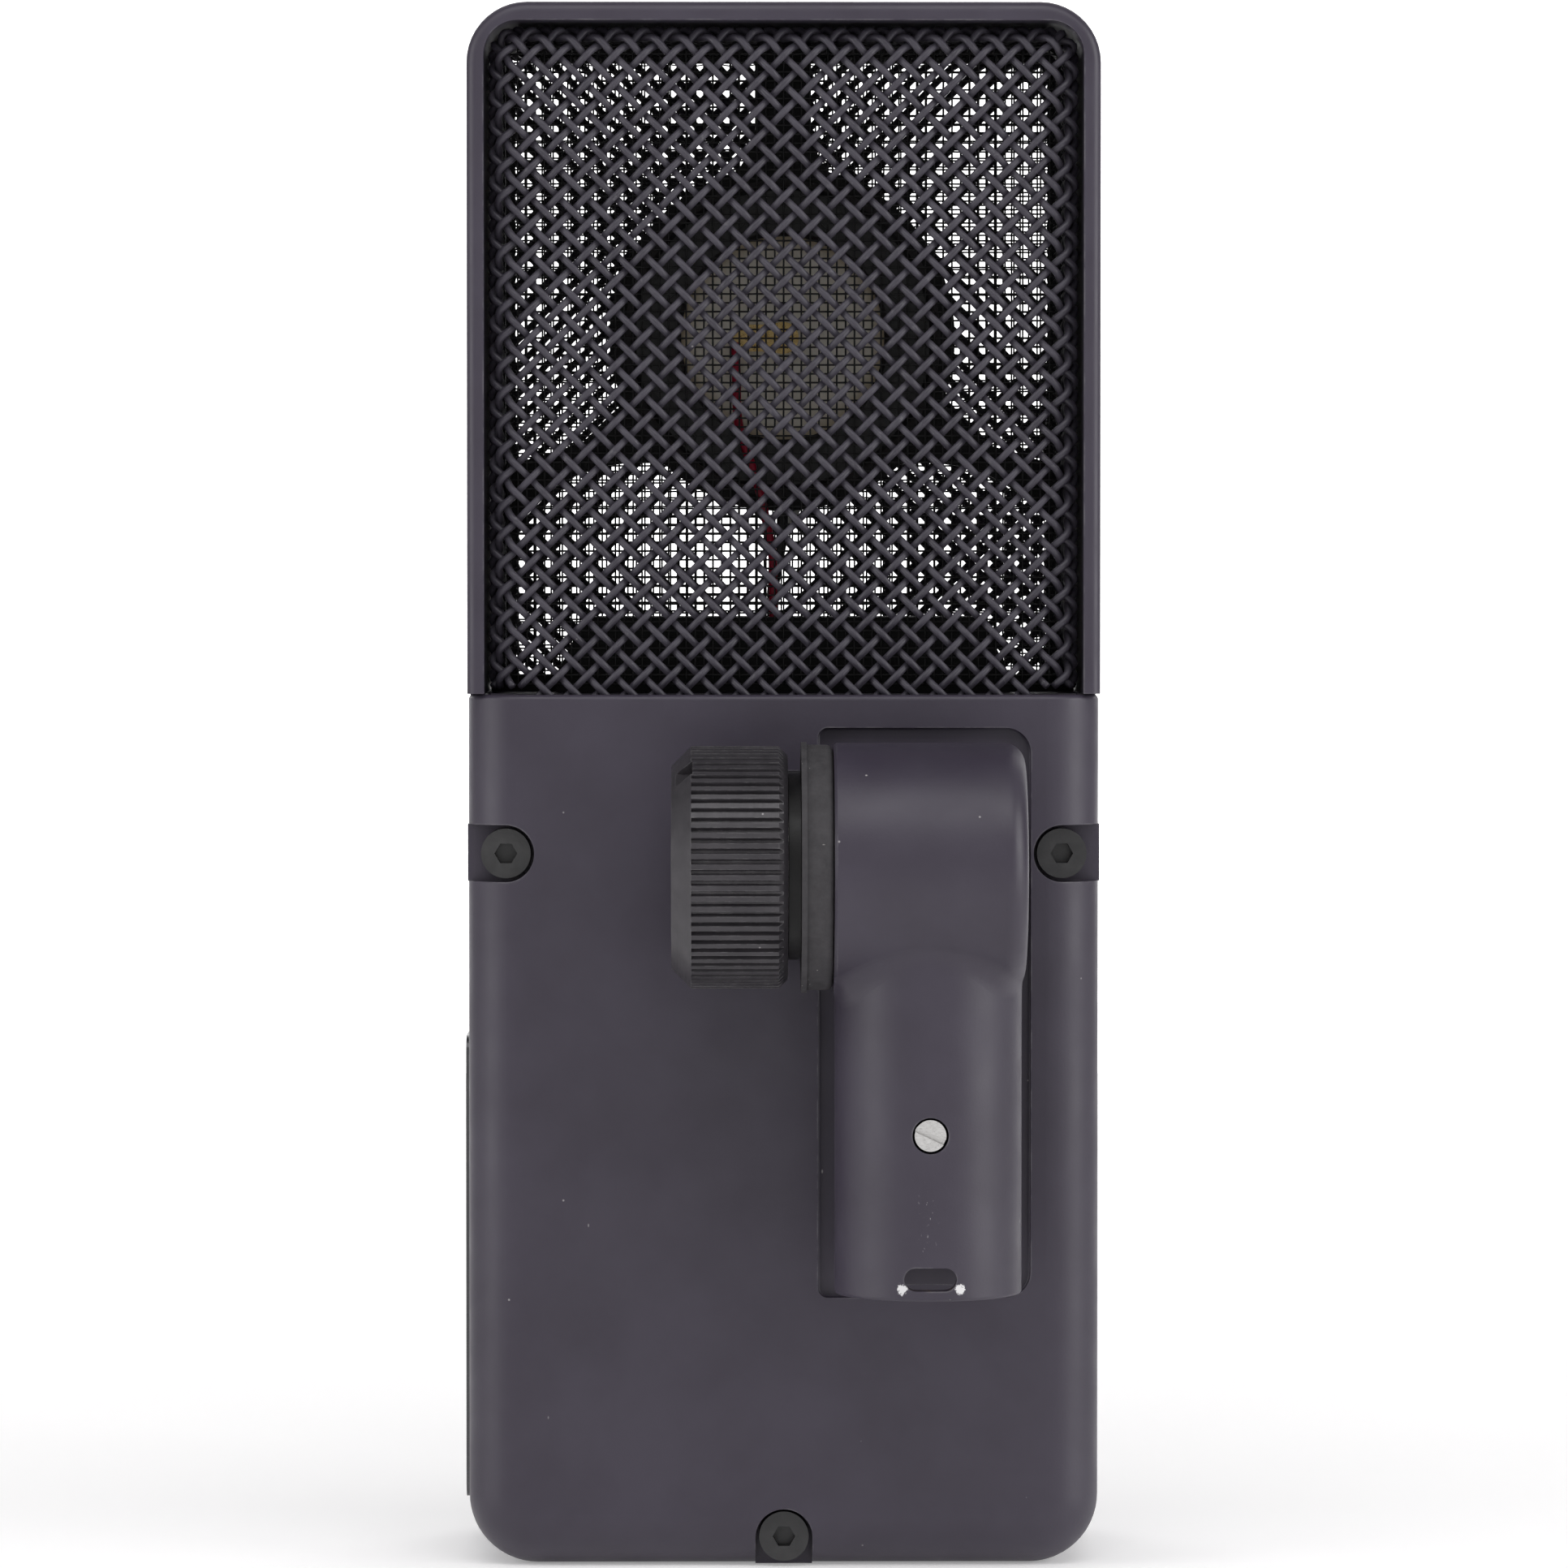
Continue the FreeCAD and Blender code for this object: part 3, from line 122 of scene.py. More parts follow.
def edgeMask(mat, radius, place, patch):
    # 1 on worn outer edges, 0 on the flats, broken up by a noise
    soft = addNode(mat, "ShaderNodeBevel", {"Radius": radius}, samples=wear["samples"]).outputs["Normal"]
    face = addNode(mat, "ShaderNodeNewGeometry").outputs["Normal"]
    both = addNode(mat, "ShaderNodeVectorMath", {0: soft, 1: face}, operation="DOT_PRODUCT")
    edge = spread(mat, both.outputs["Value"], wear["flat"], wear["sharp"])
    start, stop = wear["patches"]
    return reckon(mat, "MULTIPLY", edge, spread(mat, noise(mat, place, patch, 6.0, 0.7), start, stop))


def layOver(mat, mask, strength, colour, cover):
    return mixColour(mat, reckon(mat, "MULTIPLY", mask, strength), colour, cover)


def linkTo(mat, socket, target):
    mat.node_tree.links.new(socket, target)


def rgb(red, green, blue):
    return (red, green, blue, 1.0)


# satin paint of the housing and of the arm

paint = {
    "dark": rgb(0.034, 0.0275, 0.043),
    "light": rgb(0.042, 0.035, 0.053),
    "roughness": (0.40, 0.52),
    "roughPatch": 0.006,
    "specular": 0.5,
    "grain": 0.00032,        # width of the paint's fine orange peel
    "grainDepth": 0.000010,
    "wave": 0.0035,
    "waveDepth": 0.000012,
    "mottle": 0.011,
    "edge": 0.00035,
    "edgePatch": 0.004,
    "edgeStrength": 0.7,
    "edgeColour": rgb(0.16, 0.155, 0.165),
    "dust": rgb(0.42, 0.40, 0.40),
    "dustCell": 0.0030,
    "dustRadius": 0.00016,
    "dustShare": 0.22,
    "dustStrength": 0.75,
    "dustRough": 0.3,
    "fluffStretch": (1.0, 1.0, 0.45),
    "fluffCell": 0.0052,
    "fluffRadius": 0.00013,
    "fluffShare": 0.3,
}


def paintBase(name):
    mat, shader = startMaterial(name)
    place = objectPlace(mat)
    blotch = spread(mat, noise(mat, place, paint["mottle"], 5.0), 0.35, 0.65)
    colour = mixColour(mat, blotch, paint["dark"], paint["light"])
    worn = edgeMask(mat, paint["edge"], place, paint["edgePatch"])
    colour = layOver(mat, worn, paint["edgeStrength"], colour, paint["edgeColour"])
    dust = specks(mat, place, paint["dustCell"], paint["dustRadius"], paint["dustShare"])
    longer = stretched(mat, place, paint["fluffStretch"])
    fluff = specks(mat, longer, paint["fluffCell"], paint["fluffRadius"], paint["fluffShare"])
    dust = reckon(mat, "MAXIMUM", dust, fluff)
    colour = layOver(mat, dust, paint["dustStrength"], colour, paint["dust"])
    low, high = paint["roughness"]
    rough = spread(mat, noise(mat, place, paint["roughPatch"], 4.0), 0.3, 0.7, low, high)
    rough = reckon(mat, "ADD", rough, reckon(mat, "MULTIPLY", dust, paint["dustRough"]))
    peel = bumpFrom(mat, noise(mat, place, paint["grain"], 2.0), paint["grainDepth"])
    wave = bumpFrom(mat, noise(mat, place, paint["wave"], 1.0), paint["waveDepth"], 1.0, peel)
    linkTo(mat, rough, shader.inputs["Roughness"])
    linkTo(mat, wave, shader.inputs["Normal"])
    shader.inputs["Specular IOR Level"].default_value = paint["specular"]
    return mat, shader, place, colour


def housingPaint():
    mat, shader, place, colour = paintBase("housingPaint")
    linkTo(mat, colour, shader.inputs["Base Color"])
    return mat


armWear = {
    "metal": rgb(0.72, 0.71, 0.72),
    "backFace": (-0.040, -0.042),  # only marks on the side away from the body show
    "chipX": (0.0125, 0.0187),     # beside the latch window's lower corners
    "chipZ": 0.0333,
    "chipRadius": 0.00062,
    "chipRagged": 0.00035,
    "scratchX": 0.0153,
    "scratchHalf": 0.0013,
    "scratchZ": (0.0362, 0.0450),
    "scratchWidth": 0.00030,
    "scratchStretch": (1.0, 1.0, 0.42),
    "scratchRarity": (0.655, 0.70),
    "scratchStrength": 0.45,
}


def backOnly(mat, part, mask):
    near, far = armWear["backFace"]
    return reckon(mat, "MULTIPLY", mask, spread(mat, part.outputs[1], near, far))


def spotMask(mat, place, x, z, radius):
    part = addNode(mat, "ShaderNodeSeparateXYZ", {0: place})
    flat = addNode(mat, "ShaderNodeCombineXYZ", {0: part.outputs[0], 2: part.outputs[2]}).outputs[0]
    away = addNode(mat, "ShaderNodeVectorMath", {0: flat, 1: (x, 0.0, z)}, operation="DISTANCE")
    ragged = spread(mat, noise(mat, place, armWear["chipRagged"], 4.0, 0.8), 0.3, 0.7,
                    0.35 * radius, 1.25 * radius)
    return reckon(mat, "LESS_THAN", away.outputs["Value"], ragged)


def scratchMask(mat, place):
    # short bright marks between the retaining screw and the latch window
    part = addNode(mat, "ShaderNodeSeparateXYZ", {0: place})
    low, high = armWear["scratchZ"]
    middle = (low + high) / 2
    half = armWear["scratchHalf"]
    aside = reckon(mat, "SUBTRACT", part.outputs[0], armWear["scratchX"])
    aside = reckon(mat, "ABSOLUTE", aside, 0.0)
    along = reckon(mat, "ABSOLUTE", reckon(mat, "SUBTRACT", part.outputs[2], middle), 0.0)
    inside = spread(mat, aside, half, 0.3 * half)
    inside = reckon(mat, "MULTIPLY", inside, spread(mat, along, (high - low) / 2, (high - low) / 3))
    inside = backOnly(mat, part, inside)
    fine = noise(mat, stretched(mat, place, armWear["scratchStretch"]), armWear["scratchWidth"], 3.0, 0.7)
    start, stop = armWear["scratchRarity"]
    return reckon(mat, "MULTIPLY", inside, spread(mat, fine, start, stop))


def armPaint():
    mat, shader, place, colour = paintBase("armPaint")
    chips = [spotMask(mat, place, x, armWear["chipZ"], armWear["chipRadius"]) for x in armWear["chipX"]]
    part = addNode(mat, "ShaderNodeSeparateXYZ", {0: place})
    bare = backOnly(mat, part, reckon(mat, "MAXIMUM", chips[0], chips[1]))
    marks = reckon(mat, "MULTIPLY", scratchMask(mat, place), armWear["scratchStrength"])
    colour = mixColour(mat, reckon(mat, "MAXIMUM", bare, marks), colour, armWear["metal"])
    linkTo(mat, colour, shader.inputs["Base Color"])
    return mat


# black anodised knob

knobLook = {
    "dark": rgb(0.034, 0.031, 0.036),
    "light": rgb(0.052, 0.048, 0.054),
    "mottle": 0.003,
    "metallic": 0.25,
    "roughness": (0.34, 0.46),
    "roughPatch": 0.002,
    "edge": 0.00022,
    "edgePatch": 0.0016,
    "edgeStrength": 0.65,
    "worn": rgb(0.19, 0.185, 0.19),
    "dustCell": 0.0024,
    "dustRadius": 0.00014,
    "dustShare": 0.3,
    "dustStrength": 0.6,
    "turning": (9.0, 1.0, 1.0),   # fine turning marks round the axis
    "turnWidth": 0.0011,
    "turnDepth": 0.000006,
}


def knobFinish():
    mat, shader = startMaterial("knobFinish")
    place = objectPlace(mat)
    blotch = spread(mat, noise(mat, place, knobLook["mottle"], 4.0), 0.3, 0.7)
    colour = mixColour(mat, blotch, knobLook["dark"], knobLook["light"])
    worn = edgeMask(mat, knobLook["edge"], place, knobLook["edgePatch"])
    colour = layOver(mat, worn, knobLook["edgeStrength"], colour, knobLook["worn"])
    dust = specks(mat, place, knobLook["dustCell"], knobLook["dustRadius"], knobLook["dustShare"])
    colour = layOver(mat, dust, knobLook["dustStrength"], colour, paint["dust"])
    low, high = knobLook["roughness"]
    turned = stretched(mat, place, knobLook["turning"])
    rough = spread(mat, noise(mat, turned, knobLook["roughPatch"], 4.0), 0.3, 0.7, low, high)
    marks = noise(mat, turned, knobLook["turnWidth"], 3.0)
    linkTo(mat, colour, shader.inputs["Base Color"])
    linkTo(mat, rough, shader.inputs["Roughness"])
    linkTo(mat, bumpFrom(mat, marks, knobLook["turnDepth"]), shader.inputs["Normal"])
    shader.inputs["Metallic"].default_value = knobLook["metallic"]
    return mat


# rubber washer, band and grommets

rubberLook = {
    "dark": rgb(0.034, 0.032, 0.035),
    "dusty": rgb(0.058, 0.055, 0.059),
    "filmPatch": 0.0016,
    "roughness": (0.66, 0.86),
    "specular": 0.3,
    "lint": rgb(0.50, 0.48, 0.46),
    "lintStrength": 0.7,
    "dotCell": 0.0009,
    "dotRadius": 0.00009,
    "dotShare": 0.35,
    "hairStretch": (0.4, 1.0, 1.0),
    "hairCell": 0.0019,
    "hairRadius": 0.00010,
    "hairShare": 0.4,
    "grain": 0.00045,
    "grainDepth": 0.00003,
}


def rubber():
    mat, shader = startMaterial("rubber")
    place = objectPlace(mat)
    film = spread(mat, noise(mat, place, rubberLook["filmPatch"], 6.0, 0.7), 0.30, 0.66)
    colour = mixColour(mat, film, rubberLook["dark"], rubberLook["dusty"])
    dots = specks(mat, place, rubberLook["dotCell"], rubberLook["dotRadius"], rubberLook["dotShare"])
    longer = stretched(mat, place, rubberLook["hairStretch"])
    hairs = specks(mat, longer, rubberLook["hairCell"], rubberLook["hairRadius"], rubberLook["hairShare"])
    lint = reckon(mat, "MAXIMUM", dots, hairs)
    colour = layOver(mat, lint, rubberLook["lintStrength"], colour, rubberLook["lint"])
    low, high = rubberLook["roughness"]
    grain = noise(mat, place, rubberLook["grain"], 4.0)
    linkTo(mat, colour, shader.inputs["Base Color"])
    linkTo(mat, spread(mat, film, 0.0, 1.0, low, high), shader.inputs["Roughness"])
    linkTo(mat, bumpFrom(mat, grain, rubberLook["grainDepth"]), shader.inputs["Normal"])
    shader.inputs["Specular IOR Level"].default_value = rubberLook["specular"]
    return mat


# wire cloth

wireLook = {
    "dark": rgb(0.034, 0.030, 0.041),
    "light": rgb(0.052, 0.047, 0.062),
    "mottle": 0.004,
    "roughness": (0.42, 0.56),
    "specular": 0.45,
    "worn": rgb(0.20, 0.195, 0.205),
    "wornPatch": 0.0013,
    "wornStrength": 0.25,
    "dustCell": 0.0032,
    "dustRadius": 0.00016,
    "dustShare": 0.3,
    "dustStrength": 0.6,
    "grain": 0.0003,
    "grainDepth": 0.000010,
}


def grilleWire():
    mat, shader = startMaterial("grilleWire")
    place = objectPlace(mat)
    blotch = spread(mat, noise(mat, place, wireLook["mottle"], 4.0), 0.3, 0.7)
    colour = mixColour(mat, blotch, wireLook["dark"], wireLook["light"])
    rubbed = spread(mat, noise(mat, place, wireLook["wornPatch"], 4.0, 0.7), 0.62, 0.72)
    colour = layOver(mat, rubbed, wireLook["wornStrength"], colour, wireLook["worn"])
    dust = specks(mat, place, wireLook["dustCell"], wireLook["dustRadius"], wireLook["dustShare"])
    colour = layOver(mat, dust, wireLook["dustStrength"], colour, paint["dust"])
    low, high = wireLook["roughness"]
    grain = noise(mat, place, wireLook["grain"], 3.0)
    linkTo(mat, colour, shader.inputs["Base Color"])
    linkTo(mat, spread(mat, blotch, 0.0, 1.0, low, high), shader.inputs["Roughness"])
    linkTo(mat, bumpFrom(mat, grain, wireLook["grainDepth"]), shader.inputs["Normal"])
    shader.inputs["Specular IOR Level"].default_value = wireLook["specular"]
    return mat


fineLook = {
    "dark": rgb(0.006, 0.006, 0.0065),
    "light": rgb(0.014, 0.013, 0.014),
    "mottle": 0.003,
    "roughness": (0.5, 0.65),
    "grain": 0.0002,
    "grainDepth": 0.000006,
}


def fineMesh():
    mat, shader = startMaterial("fineMesh")
    place = objectPlace(mat)
    blotch = spread(mat, noise(mat, place, fineLook["mottle"], 3.0), 0.3, 0.7)
    low, high = fineLook["roughness"]
    grain = noise(mat, place, fineLook["grain"], 2.0)
    linkTo(mat, mixColour(mat, blotch, fineLook["dark"], fineLook["light"]), shader.inputs["Base Color"])
    linkTo(mat, spread(mat, blotch, 0.0, 1.0, low, high), shader.inputs["Roughness"])
    linkTo(mat, bumpFrom(mat, grain, fineLook["grainDepth"]), shader.inputs["Normal"])
    return mat


# plain metals; lay stretches the grain the way the piece was rolled or turned

steelLook = {
    "dark": rgb(0.56, 0.55, 0.54),
    "light": rgb(0.78, 0.77, 0.76),
    "roughness": (0.22, 0.40),
    "grain": 0.0006,
    "grainDepth": 0.000005,
    "lay": (1.0, 1.0, 4.0),
}

brassLook = {
    "dark": rgb(0.52, 0.36, 0.14),
    "light": rgb(0.74, 0.56, 0.27),
    "roughness": (0.22, 0.38),
    "grain": 0.0005,
    "grainDepth": 0.000005,
    "lay": (1.0, 1.0, 1.0),
}

goldLook = {
    "dark": rgb(0.76, 0.52, 0.17),
    "light": rgb(0.93, 0.70, 0.30),
    "roughness": (0.14, 0.26),
    "grain": 0.0007,
    "grainDepth": 0.000003,
    "lay": (1.0, 1.0, 1.0),
}

badgeLook = {
    "dark": rgb(0.10, 0.10, 0.105),
    "light": rgb(0.17, 0.17, 0.175),
    "roughness": (0.30, 0.45),
    "grain": 0.0004,
    "grainDepth": 0.000004,
    "lay": (1.0, 1.0, 12.0),
}

coreLook = {
    "dark": rgb(0.14, 0.14, 0.15),
    "light": rgb(0.33, 0.32, 0.31),
    "roughness": (0.35, 0.60),
    "grain": 0.0009,
    "grainDepth": 0.000008,
    "lay": (1.0, 1.0, 1.0),
    "sheetScale": 320.0,
    "sheetWaver": 0.3,
    "sheetDepth": 0.00008,
}

tarnishLook = {
    "patch": 0.0025,
    "strength": 0.3,
}


def metal(name, look):
    mat, shader = startMaterial(name)
    place = objectPlace(mat)
    lay = stretched(mat, place, look["lay"])
    blotch = spread(mat, noise(mat, lay, look["grain"], 5.0, 0.65), 0.3, 0.7)
    tarnish = spread(mat, noise(mat, place, tarnishLook["patch"], 4.0), 0.45, 0.75)
    colour = mixColour(mat, blotch, look["dark"], look["light"])
    colour = layOver(mat, tarnish, tarnishLook["strength"], colour, look["dark"])
    low, high = look["roughness"]
    linkTo(mat, colour, shader.inputs["Base Color"])
    linkTo(mat, spread(mat, blotch, 0.0, 1.0, low, high), shader.inputs["Roughness"])
    fine = noise(mat, lay, look["grain"] / 2, 3.0)
    linkTo(mat, bumpFrom(mat, fine, look["grainDepth"]), shader.inputs["Normal"])
    shader.inputs["Metallic"].default_value = 1.0
    return mat, shader


def coreSteel():
    # thin stampings, stacked along Y
    mat, shader = metal("coreSteel", coreLook)
    sheets = addNode(mat, "ShaderNodeTexWave", {"Vector": objectPlace(mat), "Scale": coreLook["sheetScale"],
                                                "Distortion": coreLook["sheetWaver"]}, bands_direction="Y")
    linkTo(mat, bumpFrom(mat, sheets.outputs["Fac"], coreLook["sheetDepth"]), shader.inputs["Normal"])
    return mat


# coated and moulded small parts

blackScrewLook = {
    "dark": rgb(0.010, 0.010, 0.011),
    "light": rgb(0.030, 0.029, 0.030),
    "roughness": (0.28, 0.48),
    "grain": 0.0004,
    "grainDepth": 0.000008,
    "specular": 0.6,
    "lint": 0.4,
}

blackSteelLook = {
    "dark": rgb(0.009, 0.009, 0.010),
    "light": rgb(0.022, 0.021, 0.022),
    "roughness": (0.42, 0.6),
    "grain": 0.0004,
    "grainDepth": 0.000010,
    "specular": 0.5,
    "lint": 0.0,
}

carrierLook = {
    "dark": rgb(0.004, 0.004, 0.0045),
    "light": rgb(0.009, 0.0085, 0.009),
    "roughness": (0.5, 0.68),
    "grain": 0.0003,
    "grainDepth": 0.000014,
    "specular": 0.3,
    "lint": 0.35,
}

clampRingLook = {
    "dark": rgb(0.010, 0.010, 0.011),
    "light": rgb(0.026, 0.025, 0.026),
    "roughness": (0.3, 0.42),
    "grain": 0.0005,
    "grainDepth": 0.000006,
    "specular": 0.5,
    "lint": 0.0,
}

leadLook = {
    "red": (rgb(0.26, 0.0, 0.020), rgb(0.40, 0.004, 0.034)),
    "white": (rgb(0.60, 0.59, 0.55), rgb(0.76, 0.75, 0.72)),
    "black": (rgb(0.012, 0.012, 0.013), rgb(0.026, 0.025, 0.026)),
    "roughness": (0.34, 0.5),
    "grain": 0.0004,
    "grainDepth": 0.000012,
    "specular": 0.5,
    "lint": 0.0,
}

boardLook = {
    "dark": rgb(0.012, 0.070, 0.036),
    "light": rgb(0.020, 0.105, 0.052),
    "roughness": (0.25, 0.4),
    "grain": 0.0005,
    "grainDepth": 0.000006,
    "specular": 0.5,
    "lint": 0.0,
    "threadScale": 520.0,
    "threadDepth": 0.00002,
}

windingLook = {
    "dark": rgb(0.30, 0.17, 0.025),
    "light": rgb(0.46, 0.29, 0.06),
    "roughness": (0.25, 0.42),
    "grain": 0.0012,
    "grainDepth": 0.000030,
    "specular": 0.6,
    "lint": 0.0,
}

canLook = {
    "dark": rgb(0.018, 0.026, 0.070),
    "light": rgb(0.030, 0.040, 0.098),
    "roughness": (0.22, 0.34),
    "grain": 0.0009,
    "grainDepth": 0.000012,
    "specular": 0.6,
    "lint": 0.0,
}

filmCaseLook = {
    "dark": rgb(0.28, 0.020, 0.018),
    "light": rgb(0.40, 0.040, 0.032),
    "roughness": (0.22, 0.36),
    "grain": 0.0010,
    "grainDepth": 0.000012,
    "specular": 0.6,
    "lint": 0.0,
}

transistorLook = {
    "dark": rgb(0.012, 0.012, 0.012),
    "light": rgb(0.024, 0.024, 0.023),
    "roughness": (0.5, 0.66),
    "grain": 0.0003,
    "grainDepth": 0.000012,
    "specular": 0.5,
    "lint": 0.0,
}

resistorLook = {
    "dark": rgb(0.070, 0.20, 0.34),
    "light": rgb(0.12, 0.30, 0.46),
    "roughness": (0.22, 0.36),
    "grain": 0.0006,
    "grainDepth": 0.000010,
    "specular": 0.6,
    "lint": 0.0,
}

smallLint = {
    "cell": 0.0028,
    "radius": 0.00013,
    "share": 0.3,
}


def coated(name, look):
    mat, shader = startMaterial(name)
    place = objectPlace(mat)
    blotch = spread(mat, noise(mat, place, look["grain"] * 6, 5.0), 0.3, 0.7)
    colour = mixColour(mat, blotch, look["dark"], look["light"])
    if look["lint"]:
        dust = specks(mat, place, smallLint["cell"], smallLint["radius"], smallLint["share"])
        colour = layOver(mat, dust, look["lint"], colour, paint["dust"])
    low, high = look["roughness"]
    linkTo(mat, colour, shader.inputs["Base Color"])
    linkTo(mat, spread(mat, blotch, 0.0, 1.0, low, high), shader.inputs["Roughness"])
    fine = noise(mat, place, look["grain"], 3.0)
    linkTo(mat, bumpFrom(mat, fine, look["grainDepth"]), shader.inputs["Normal"])
    shader.inputs["Specular IOR Level"].default_value = look["specular"]
    return mat, shader


def leadSleeve(colourName):
    dark, light = leadLook[colourName]
    look = dict(leadLook, dark=dark, light=light)
    return coated(colourName + "Wire", look)[0]


def boardGreen():
    # glass cloth shows through the lacquer as a fine square weave
    mat, shader = coated("boardGreen", boardLook)
    inputs = {"Vector": objectPlace(mat), "Scale": boardLook["threadScale"]}
    warp = addNode(mat, "ShaderNodeTexWave", inputs, bands_direction="X")
    weft = addNode(mat, "ShaderNodeTexWave", inputs, bands_direction="Z")
    cloth = reckon(mat, "MULTIPLY", warp.outputs["Fac"], weft.outputs["Fac"])
    linkTo(mat, bumpFrom(mat, cloth, boardLook["threadDepth"]), shader.inputs["Normal"])
    return mat


filmLook = {
    "pale": rgb(0.66, 0.63, 0.56),
    "warm": rgb(0.46, 0.38, 0.26),
    "rim": 0.0114,
    "rimStart": 0.82,
    "cloudPatch": 0.005,
    "cloudMost": 0.35,
    "roughness": (0.30, 0.42),
    "ripple": 0.006,
    "rippleDepth": 0.00006,
    "metallic": 0.15,
}


def diaphragmFilm():
    # metallised film: pale in the middle, warmer toward its bare rim, with slack ripples
    mat, shader = startMaterial("diaphragmFilm")
    place = objectPlace(mat)
    part = addNode(mat, "ShaderNodeSeparateXYZ", {0: place})
    bottom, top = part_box("rear_diaphragm")
    centre = (0.0, 0.0, (bottom.z + top.z) / 2)
    flat = addNode(mat, "ShaderNodeCombineXYZ", {0: part.outputs[0], 2: part.outputs[2]}).outputs[0]
    away = addNode(mat, "ShaderNodeVectorMath", {0: flat, 1: centre}, operation="DISTANCE").outputs["Value"]
    rim = spread(mat, away, filmLook["rimStart"] * filmLook["rim"], filmLook["rim"])
    most = filmLook["cloudMost"]
    cloud = spread(mat, noise(mat, place, filmLook["cloudPatch"], 4.0), 0.35, 0.7, 0.0, most)
    colour = mixColour(mat, reckon(mat, "MAXIMUM", rim, cloud), filmLook["pale"], filmLook["warm"])
    low, high = filmLook["roughness"]
    ripple = noise(mat, place, filmLook["ripple"], 1.0)
    linkTo(mat, colour, shader.inputs["Base Color"])
    linkTo(mat, spread(mat, cloud, 0.0, most, low, high), shader.inputs["Roughness"])
    linkTo(mat, bumpFrom(mat, ripple, filmLook["rippleDepth"]), shader.inputs["Normal"])
    shader.inputs["Metallic"].default_value = filmLook["metallic"]
    return mat


# one finish for each slot of the frame

finishes = {
    "housing_paint": housingPaint(),
    "knob_finish": knobFinish(),
    "grille_wire": grilleWire(),
    "fine_mesh": fineMesh(),
    "black_screw": coated("blackScrew", blackScrewLook)[0],
    "steel": metal("steel", steelLook)[0],
    "black_steel": coated("blackSteel", blackSteelLook)[0],
    "badge_plate": metal("badgePlate", badgeLook)[0],
    "carrier_plastic": coated("carrierPlastic", carrierLook)[0],
    "capsule_brass": metal("capsuleBrass", brassLook)[0],
    "clamp_ring_black": coated("clampRingBlack", clampRingLook)[0],
    "diaphragm_film": diaphragmFilm(),
    "rubber": rubber(),
    "red_wire": leadSleeve("red"),
    "white_wire": leadSleeve("white"),
    "black_wire": leadSleeve("black"),
    "board_green": boardGreen(),
    "core_steel": coreSteel(),
    "winding_tape": coated("windingTape", windingLook)[0],
    "can_sleeve": coated("canSleeve", canLook)[0],
    "film_case": coated("filmCase", filmCaseLook)[0],
    "transistor_case": coated("transistorCase", transistorLook)[0],
    "resistor_body": coated("resistorBody", resistorLook)[0],
    "contact_gold": metal("contactGold", goldLook)[0],
}
armFinish = armPaint()

for nodeName, node in cadNodes.items():
    for held in node.material_slots:
        held.material = armFinish if nodeName == "swivel_arm" else finishes[held.material.name]
print("finishes set:", len(finishes) + 1)


# wire cloth pressed over a tray: flat face, rounded edge, wall going back into the head

def foldPoint(tray, across, up):
    # where a point of the flat cloth ends up, its outward normal and how far it went down the wall
    edge = tray["edgeRadius"]
    pastSide = max(0.0, abs(across) - tray["flatHalf"])
    pastTop = max(0.0, up - tray["flatTop"])
    past = math.hypot(pastSide, pastTop)
    if past == 0:
        return Vector((across, tray["face"], up)), Vector((0.0, -1.0, 0.0)), 0.0
    outX = math.copysign(pastSide / past, across)
    outZ = pastTop / past
    turn = min(past / edge, math.pi / 2)
    wall = max(0.0, past - edge * math.pi / 2)
    baseX = math.copysign(min(abs(across), tray["flatHalf"]), across)
    reach = edge * math.sin(turn)
    point = Vector((baseX + outX * reach, tray["face"] + edge * (1 - math.cos(turn)) + wall,
                    min(up, tray["flatTop"]) + outZ * reach))
    normal = Vector((outX * math.sin(turn), -math.cos(turn), outZ * math.sin(turn)))
    inCorner = pastSide > 0 and pastTop > 0
    return point, normal, wall + (tray["wall"] - tray["cornerWall"] if inCorner and wall > 0 else 0.0)


def insideCloth(tray, across, up, wall):
    foot = tray["tongueFoot"] if abs(across) < tray["tongueHalf"] else tray["foot"]
    return up >= foot and wall <= tray["wall"]


def addTube(verts, faces, path, radius, sides, flip):
    # a closed tube along points that each carry the cloth's normal
    start = len(verts)
    for index, (point, normal) in enumerate(path):
        before = path[max(index - 1, 0)][0]
        after = path[min(index + 1, len(path) - 1)][0]
        aside = (after - before).cross(normal).normalized()
        lift = aside.cross(after - before).normalized()
        for side in range(sides):
            angle = 2 * math.pi * side / sides
            spot = point + (lift * math.cos(angle) + aside * math.sin(angle)) * radius
            verts.append((spot.x, -spot.y if flip else spot.y, spot.z))
    for ring in range(len(path) - 1):
        for side in range(sides):
            one = start + ring * sides + side
            two = start + ring * sides + (side + 1) % sides
            face = (one, two, two + sides, one + sides)
            faces.append(face if flip else face[::-1])
    first = tuple(range(start, start + sides))
    last = tuple(range(len(verts) - sides, len(verts)))
    faces.append(first[::-1] if flip else first)
    faces.append(last if flip else last[::-1])


